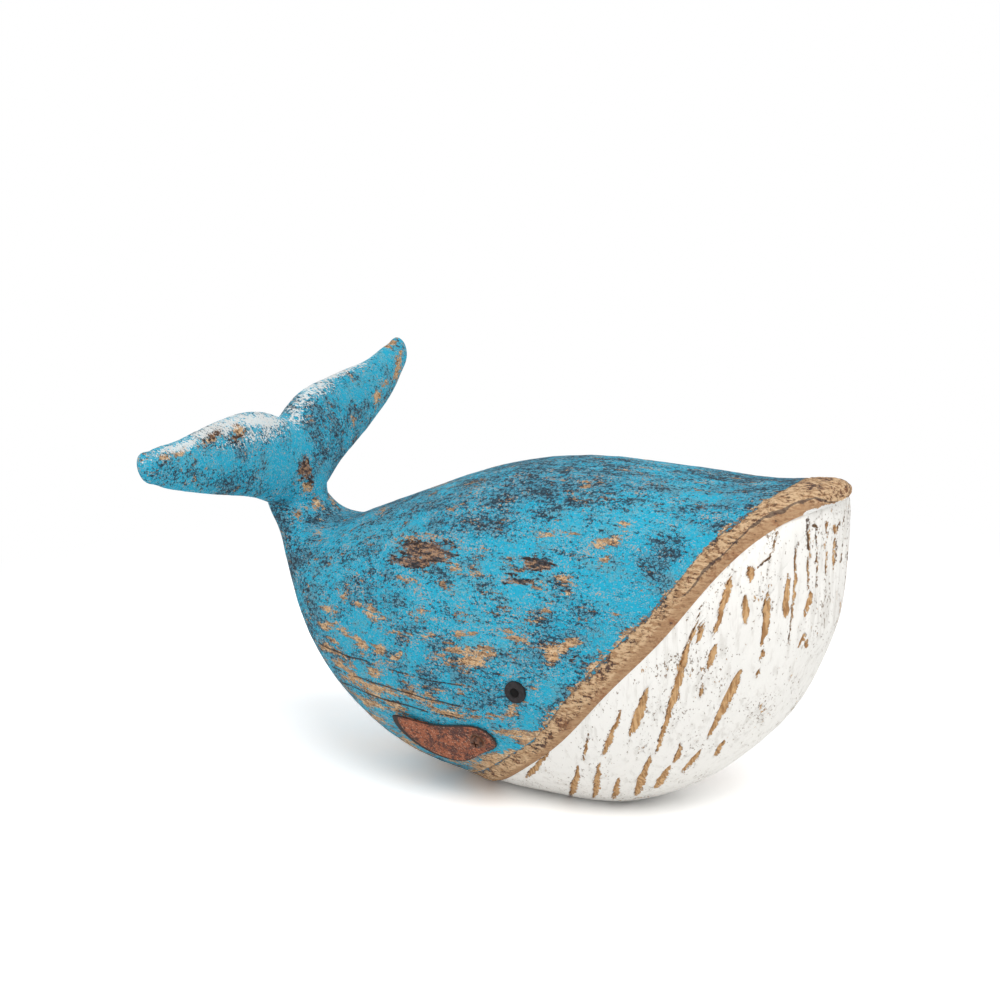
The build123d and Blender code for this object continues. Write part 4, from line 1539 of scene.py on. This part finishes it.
    def gouge(self, points: np.ndarray) -> tuple[np.ndarray, np.ndarray, np.ndarray]:
        """All the gouge cuts on the throat, their edges made ragged by noise.

        Args:
            points: Points on the throat.

        Returns:
            Reach, depth share and closeness to a wall, each the greatest of all cuts.
        """
        pixels = self.photo.near_pixels(points, 0.0)
        pixels[..., 0] += sum(noise.at(points) for noise in self.gash_wobble)
        reach = np.full(points.shape[:-1], self.gash_outside)
        depth, wall = np.zeros_like(reach), np.zeros_like(reach)
        for gash in GASHES:
            found = gash.cut(pixels)
            reach, depth, wall = (np.maximum(*pair) for pair in zip((reach, depth, wall), found))
        return reach, depth, wall

    def pleats(self, points: np.ndarray) -> np.ndarray:
        """Depth of the pleats: grooves a pitch apart that wander, and come and go in patches.

        Args:
            points: Points on the throat.

        Returns:
            A depth for each point.
        """
        turn = (points[..., 1] + self.pleat_wander.at(points)) / self.pleat_pitch
        groove = bell(np.abs(turn - np.floor(turn) - 0.5) * self.pleat_pitch, self.pleat_width)
        groove = groove * (np.abs(points[..., 1]) < self.pleat_pitch * self.pleats_each_side)
        return self.pleat_depth * groove * smooth_step(self.pleat_patches.at(points), *self.patch_range)

    def make_throat(self, finish: Finish) -> Piece:
        """The white throat: on each section the arc under the keel, between the mouth lines.

        Args:
            finish: The white paint.

        Returns:
            The piece.
        """
        rows, columns = self.throat_grid
        share = np.linspace(0, 1, rows)
        crowded = 1 - np.cos(share * math.pi / 2)
        share = self.crowding * crowded + (1 - self.crowding) * share
        places = self.form.block_places(self.form.mouth_shares, (), share)
        edge = self.form.line_angles(places, self.form.mouth_shares)[:, None]
        angles = edge + 2 * (math.pi - edge) * np.linspace(0, 1, columns)
        points = self.form.surface(places, angles)
        normals = self.form.normals(places, angles)
        reach, gash, wall = self.gouge(points)
        inward = gash * self.gash_depth + self.pleats(points) + self.throat_chatter.at(points)
        inward = inward + self.dents(points) * self.throat_dent_share
        from_edge = np.minimum(angles - edge, 2 * math.pi - edge - angles)
        margin = smooth_step(from_edge, 0, self.throat_margin)
        margin = np.where(edge > self.open_angle, margin, 1)
        points = self.above_table(points - normals * (inward * margin)[..., None])
        fields = {Field.GASH: reach, Field.DIRT: wall}
        piece = fanned_skin("white_throat", *self.close([points], [fields])).make()
        return dress(piece, finish, "carving", "throat_block")


@dataclass
class Tail:
    """Stock and flukes, two closed tubes run into each other and smoothed into one."""

    form: WhaleForm
    body: BodyBlocks
    span: float = 0.196
    tip_sway: float = 3.6 * MM
    chord: float = 0.040
    thickness: float = 0.020
    lean: float = math.radians(15.0)
    notch_shares: Pair = (-0.558, 0.966)
    fluke_shares: Shares = (
        (0.000, -0.450, 0.438, 1.00),
        (0.120, -0.375, 0.500, 1.00),
        (0.260, -0.262, 0.462, 0.96),
        (0.420, -0.188, 0.398, 0.88),
        (0.590, -0.125, 0.330, 0.76),
        (0.750, -0.050, 0.262, 0.64),
        (0.870, 0.030, 0.215, 0.54),
        (0.945, 0.090, 0.175, 0.45),
        (0.985, 0.125, 0.125, 0.32),
        (1.000, 0.138, 0.055, 0.14),
    )
    stock_shares: Shares = (
        (-0.700, 1.12, 0.172), (-0.550, 1.05, 0.242), (-0.400, 0.92, 0.320), (-0.250, 0.70, 0.380),
    )
    body_places: tuple[float, ...] = (3.0, 1.5, 0.0)
    neck_inset: float = 1.5 * MM
    fluke_count: int = 241
    stock_count: int = 90
    ring_size: int = 96
    voxel: float = 0.85 * MM
    soften_factor: float = 0.5
    soften_rounds: int = 10
    dust_share: float = 0.3
    carved_range: Pair = (102 * MM, 112 * MM)

    def axes(self) -> tuple[np.ndarray, np.ndarray, np.ndarray]:
        """The notch between the flukes, and the blade's upward and forward directions."""
        up = np.array([-math.sin(self.lean), 0, math.cos(self.lean)])
        front = np.array([math.cos(self.lean), 0, math.sin(self.lean)])
        x, z = self.notch_shares
        return np.array([x * self.form.length, 0, z * self.form.height]), up, front

    def round_angles(self) -> np.ndarray:
        """Angles of the places on a ring."""
        return np.linspace(0, 2 * math.pi, self.ring_size, endpoint=False)

    def fluke_rings(self) -> np.ndarray:
        """Both flukes as one tube, from tip to tip.

        Across the span each ring is an ellipse: half chord along the blade's up and half
        thickness along its front, about a centre that slides up towards the tips. The left
        tip is swayed up and the right one down, by the cube of the share of the span.
        """
        notch, up, front = self.axes()
        table = np.array(self.fluke_shares)
        share = np.sin(np.linspace(-math.pi / 2, math.pi / 2, self.fluke_count))
        read = through(table[:, 0], table[:, 1:], np.abs(share))
        angle = self.round_angles()
        middle = notch + up * (read[:, :1] * self.chord + share[:, None] ** 3 * self.tip_sway)
        middle[:, 1] += share * self.span / 2
        rise = (read[:, 1] * self.chord)[:, None] * np.cos(angle)
        depth = (read[:, 2] * self.thickness / 2)[:, None] * np.sin(angle)
        return middle[:, None] + rise[..., None] * up + depth[..., None] * front

    def stock_rings(self) -> np.ndarray:
        """The stock as a tube from inside the neck to inside the flukes.

        Its sections run smoothly on from the body's own: middle, rise and half width
        follow one curve through two body sections, the neck and the stock's table.
        """
        notch, up, front = self.axes()
        middle, rise, width, _ = self.form.sections(np.array(self.body_places))
        table = np.array(self.stock_shares)
        middle = np.vstack([middle, notch + up * (table[:, :1] * self.chord)])
        rise = np.vstack([rise, front * (table[:, 1:2] * self.thickness / 2)])
        width = np.concatenate([width, table[:, 2] * self.span / 2])
        rows = np.hstack([middle, rise, width[:, None]])
        run = added(step_lengths(middle))
        neck = run[len(self.body_places) - 1]
        read = through(run, rows, np.linspace(neck - self.neck_inset, run[-1], self.stock_count))
        angle = self.round_angles()
        rings = read[:, None, :3] + read[:, None, 3:6] * np.cos(angle)[None, :, None]
        rings[..., 1] += read[:, 6:7] * np.sin(angle)
        return rings

    def one_skin(self) -> bpy.types.Mesh:
        """The two tubes made one skin by a voxel remesh, and softened where they meet."""
        both = bmesh.new()
        for rings in (self.fluke_rings(), self.stock_rings()):
            part = fanned_skin("tail_part", rings, {}).make()
            both.from_mesh(part.data)
            bpy.data.objects.remove(part)
        rough = bpy.data.meshes.new("tail_rough")
        both.to_mesh(rough)
        both.free()
        holder = link_object("tail_rough", rough)
        remesh = holder.modifiers.new("one_skin", "REMESH")
        remesh.mode = "VOXEL"
        remesh.voxel_size = self.voxel
        soften = holder.modifiers.new("soften", "SMOOTH")
        soften.factor = self.soften_factor
        soften.iterations = self.soften_rounds
        mesh = bpy.data.meshes.new_from_object(
            holder.evaluated_get(bpy.context.evaluated_depsgraph_get())
        )
        bpy.data.objects.remove(holder)
        mesh.name = "painted_tail"
        return mesh

    def make(self, finish: Finish) -> Piece:
        """Carves and marks the tail's skin.

        Args:
            finish: The blue paint.

        Returns:
            The piece.
        """
        mesh = self.one_skin()
        points, normals = np.zeros((2, len(mesh.vertices), 3))
        mesh.vertices.foreach_get("co", points.ravel())
        mesh.vertex_normals.foreach_get("vector", normals.ravel())
        fields = self.body.paint_fields(self.body.photo.pixels(points), normals)
        # the upward-facing grey and painted shade, weaker on the tail
        fields[Field.DUST] *= self.dust_share
        away = smooth_step(points[:, 2], *self.carved_range)
        points = points - normals * (self.body.dents(points) * away)[:, None]
        points = self.body.ease_neck(points)
        mesh.vertices.foreach_set("co", points.ravel())
        keep_fields(mesh, fields)
        shade_smooth(mesh)
        mesh.update()
        mesh.materials.clear()
        return dress(link_object("painted_tail", mesh), finish, "carving", "tail")


@dataclass
class Flipper:
    """A hammered leaf of sheet steel that turns on its screw."""

    side: Side
    pivot: np.ndarray
    axis: np.ndarray
    length: float = 47.0 * MM
    width: float = 22.0 * MM
    thickness: float = 1.2 * MM
    gap: float = 0.12 * MM
    hole: float = 1.48 * MM
    outline_shares: Shares = (
        (-0.185, 0.000), (-0.150, 0.190), (-0.060, 0.315), (0.060, 0.320), (0.230, 0.240), (0.400, 0.180),
        (0.580, 0.175), (0.720, 0.235), (0.805, 0.260), (0.815, 0.120), (0.770, -0.140), (0.660, -0.420),
        (0.520, -0.600), (0.360, -0.680), (0.210, -0.640), (0.080, -0.470), (-0.060, -0.260),
    )
    overlap: int = 4
    outline_points: int = 220
    face_rings: int = 40
    edge_rings: int = 8
    edge_share: float = 0.03
    edge_turns: Pair = (0.4, 2.7)
    edge_heights: Pair = (0.15, 0.85)
    rounded_range: Pair = (0.86, 1.0)
    hammer: float = 0.16 * MM
    hammer_marks: tuple[LatticeNoise, ...] = (
        LatticeNoise(41, 4.5 * MM, 0.6), LatticeNoise(42, 1.9 * MM, 0.4),
    )
    front_rounding: float = 0.30 * MM
    back_rounding: float = 0.25 * MM
    back_gap: float = 0.02 * MM
    curl: float = 1.6 * MM
    curl_share: float = 0.8
    # shares of the way out where the painted shade along the edge starts and is full
    scale_range: Pair = (0.90, 0.96)
    rub_radius: float = 6.5 * MM
    rub_amount: float = 0.75
    sharp_deg: float = 50.0

    def outline(self) -> np.ndarray:
        """The leaf's outline about its screw, rearward and upward, as a closed smooth curve.

        The curve runs past its own ends by an overlap, so that it closes without a corner.
        """
        table = np.array(self.outline_shares) * (self.length, self.width)
        first, last = self.overlap, self.overlap + len(table)
        wrapped = np.vstack([table[-first:], table, table[:first + 1]])
        run = added(step_lengths(wrapped))
        at = np.linspace(run[first], run[last], self.outline_points, endpoint=False)
        return through(run, wrapped, at)

    def make(self, finish: Finish) -> Piece:
        """Builds the leaf: rings out from the hole over the front, round the edge and back.

        A ring is the hole's circle blended into the outline by its share of the way out, and
        the height follows the sheet's rounded edge plus its hammer marks.

        Args:
            finish: The rusted steel.

        Returns:
            The piece.
        """
        normal = unit(self.axis * np.sign(self.axis[1]) * self.side.value)
        rear = unit(np.array([-1.0, 0, 0]) + normal * normal[0])
        up = np.cross(normal, rear)
        up = up * np.sign(up[2])
        rim = self.outline()
        angle = np.arctan2(rim[:, 1], rim[:, 0])
        inner = np.stack([np.cos(angle), np.sin(angle)], -1) * self.hole
        face_out = np.linspace(0, 1 - self.edge_share, self.face_rings)
        edge_out = 1 - self.edge_share * np.cos(np.linspace(*self.edge_turns, self.edge_rings)) ** 2
        out = np.concatenate([face_out, edge_out, face_out[::-1]])
        edge_turn = np.linspace(*self.edge_heights, self.edge_rings)
        turn = np.concatenate([np.zeros(self.face_rings), edge_turn, np.ones(self.face_rings)])
        flat = inner[None] + (rim - inner)[None] * out[:, None, None]
        points = self.pivot + flat[..., :1] * rear + flat[..., 1:] * up
        hammer = sum(noise.at(points) for noise in self.hammer_marks)
        edge = smooth_step(out, *self.rounded_range)[:, None] * np.ones(len(rim))
        front = self.thickness - self.hammer * (1 + hammer) * (1 - edge) - self.front_rounding * edge
        back = self.back_gap + self.back_rounding * edge
        height = self.gap + front + (back - front) * smooth_step(turn, 0, 1)[:, None]
        rearward = np.clip(flat[..., 0] / (self.curl_share * self.length), 0, 1)
        points = points + (height + self.curl * rearward**2)[..., None] * normal
        fields = {
            Field.WOOD: self.rub_amount * bell(np.linalg.norm(flat, axis=-1), self.rub_radius),
            # painted shade along the sheet's edge
            Field.DARK: smooth_step(out, *self.scale_range)[:, None] * np.ones(len(rim)),
        }
        node = f"flipper_{self.side.label}"
        faces = ring_quads(*points.shape[:2], True)
        leaf = Skin(f"rusted_{node}", points, faces, fields, self.sharp_deg, merge_within=0.0)
        return dress(leaf.make(), finish, node, node)


@dataclass
class Fittings:
    """The CAD nodes that are shown as they are: eyes, screws and hidden dowels."""

    nodes: dict

    def finishes(self) -> dict[str, Finish]:
        """The finish of each fitting's node."""
        ring = SmallMetal("eye_ring_iron", colour(42, 38, 40), colour(22, 20, 20), 0.6).make()
        pupil = SmallMetal("eye_nail_iron", colour(5, 4, 4), colour(12, 9, 8), 0.6, 0.12).make()
        screw = SmallMetal("rusty_screw", colour(112, 74, 54), colour(58, 40, 34), 0.55).make()
        beech = DowelWood().make()
        paired = {"eye_ring": ring, "eye_nail": pupil, "flipper_screw": screw}
        finishes = {f"{name}_{side.label}": paired[name] for side in Side for name in paired}
        return finishes | dict.fromkeys(("tail_dowel", "throat_dowel_lower", "throat_dowel_upper"), beech)

    def make(self) -> None:
        """Gives every fitting's node its finish."""
        for name, finish in self.finishes().items():
            slots = self.nodes[name].data.materials
            slots.clear()
            slots.append(finish)
            LOG.info("dressed %s", name)


@dataclass(frozen=True)
class Lamp:
    """A square soft lamp that faces the whale."""

    name: str
    place: tuple[float, float, float]
    size: float
    power: float

    def make(self, height: float) -> None:
        """Hangs the lamp at its place.

        Args:
            height: Height over the origin that it is aimed at.
        """
        data = bpy.data.lights.new(self.name, "AREA")
        data.size = self.size
        data.energy = self.power
        lamp = link_object(self.name, data)
        lamp.location = self.place
        aim = Vector((0, 0, height)) - Vector(self.place)
        lamp.rotation_euler = aim.to_track_quat("-Z", "Y").to_euler()


@dataclass
class Studio:
    """A white table, a white surround and two soft lamps."""

    photo: Photograph
    floor_size: float = 6.0
    floor_white: Colour = (0.93, 0.93, 0.93, 1)
    floor_gain: float = 1.47
    floor_fade: Pair = (0.17, 0.42)
    full_white: Colour = (1, 1, 1, 1)
    world_strength: float = 0.65
    lamps: tuple[Lamp, ...] = (
        Lamp("key_lamp", (0.8, -0.6, 1.45), 1.3, 15.0),
        Lamp("fill_lamp", (-0.9, -0.9, 0.9), 1.2, 3.5),
    )

    def make_floor(self) -> None:
        """A white table that keeps the whale's shadow and fades to white far from it."""
        half = self.floor_size / 2
        mesh = bpy.data.meshes.new("table")
        mesh.from_pydata([(-half, -half, 0), (half, -half, 0), (half, half, 0), (-half, half, 0)],
                         [], [(0, 1, 2, 3)])
        floor = link_object("table", mesh)
        s = Shader("white_table")
        mesh.materials.append(s.finish(self.floor_white, 1.0, 0.0))
        far = s.add("ShaderNodeVectorMath", {0: s.place}, out=1, operation="LENGTH")
        glow = s.add("ShaderNodeEmission", {"Color": self.full_white, "Strength": 1.0})
        lit = s.add("ShaderNodeBsdfDiffuse", {"Color": (self.floor_gain,) * 3 + (1,)})
        shown = s.add("ShaderNodeMixShader", {0: s.step(far, *self.floor_fade), 1: lit, 2: glow})
        whole = s.add("ShaderNodeMixShader", {0: s.seen_directly(), 1: s.surface.outputs[0], 2: shown})
        s.feed(s.tree.nodes["Material Output"].inputs["Surface"], whole)

    def make_world(self) -> None:
        """A white surround, at full strength where the camera or a reflection sees it."""
        world = bpy.data.worlds.new("white_surround")
        bpy.context.scene.world = world
        world.use_nodes = True
        surround = NodeTree(world.node_tree)
        seen = surround.seen_directly()
        strength = surround.add("ShaderNodeMapRange", {0: seen, 3: self.world_strength, 4: 1.0})
        back = world.node_tree.nodes["Background"]
        surround.feed(back.inputs["Color"], self.full_white)
        surround.feed(back.inputs["Strength"], strength)

    def make(self) -> None:
        """Lights and surrounds the whale, and sets the view."""
        self.make_floor()
        self.make_world()
        for lamp in self.lamps:
            lamp.make(self.photo.pivot_height)
        self.photo.make_camera()
        bpy.context.scene.view_settings.view_transform = "Standard"


def main() -> None:
    """Builds and dresses every piece, then the studio, and reports each through logging."""
    logging.basicConfig(level=logging.INFO, format="%(message)s")
    form = WhaleForm()
    photo = Photograph()
    blue = WeatheredBlue().make()
    body = BodyBlocks(form, photo)
    pieces = [
        body.make_back(blue),
        body.make_lip(BareLip().make()),
        body.make_throat(WhiteThroat().make()),
        Tail(form, body).make(blue),
    ]
    rust = RustedSheet().make()
    for side in Side:
        joint = next(j for j in frame["joints"] if j["child"] == f"flipper_{side.label}")
        leaf = Flipper(side, np.array(joint["pos_m"]), np.array(joint["axis"]))
        pieces.append(leaf.make(rust))
    Fittings(frame["nodes"]).make()
    for piece in pieces:
        LOG.info("%s: %d faces", piece.name, len(piece.data.polygons))
    Studio(photo).make()


if __name__ == "__main__":
    main()
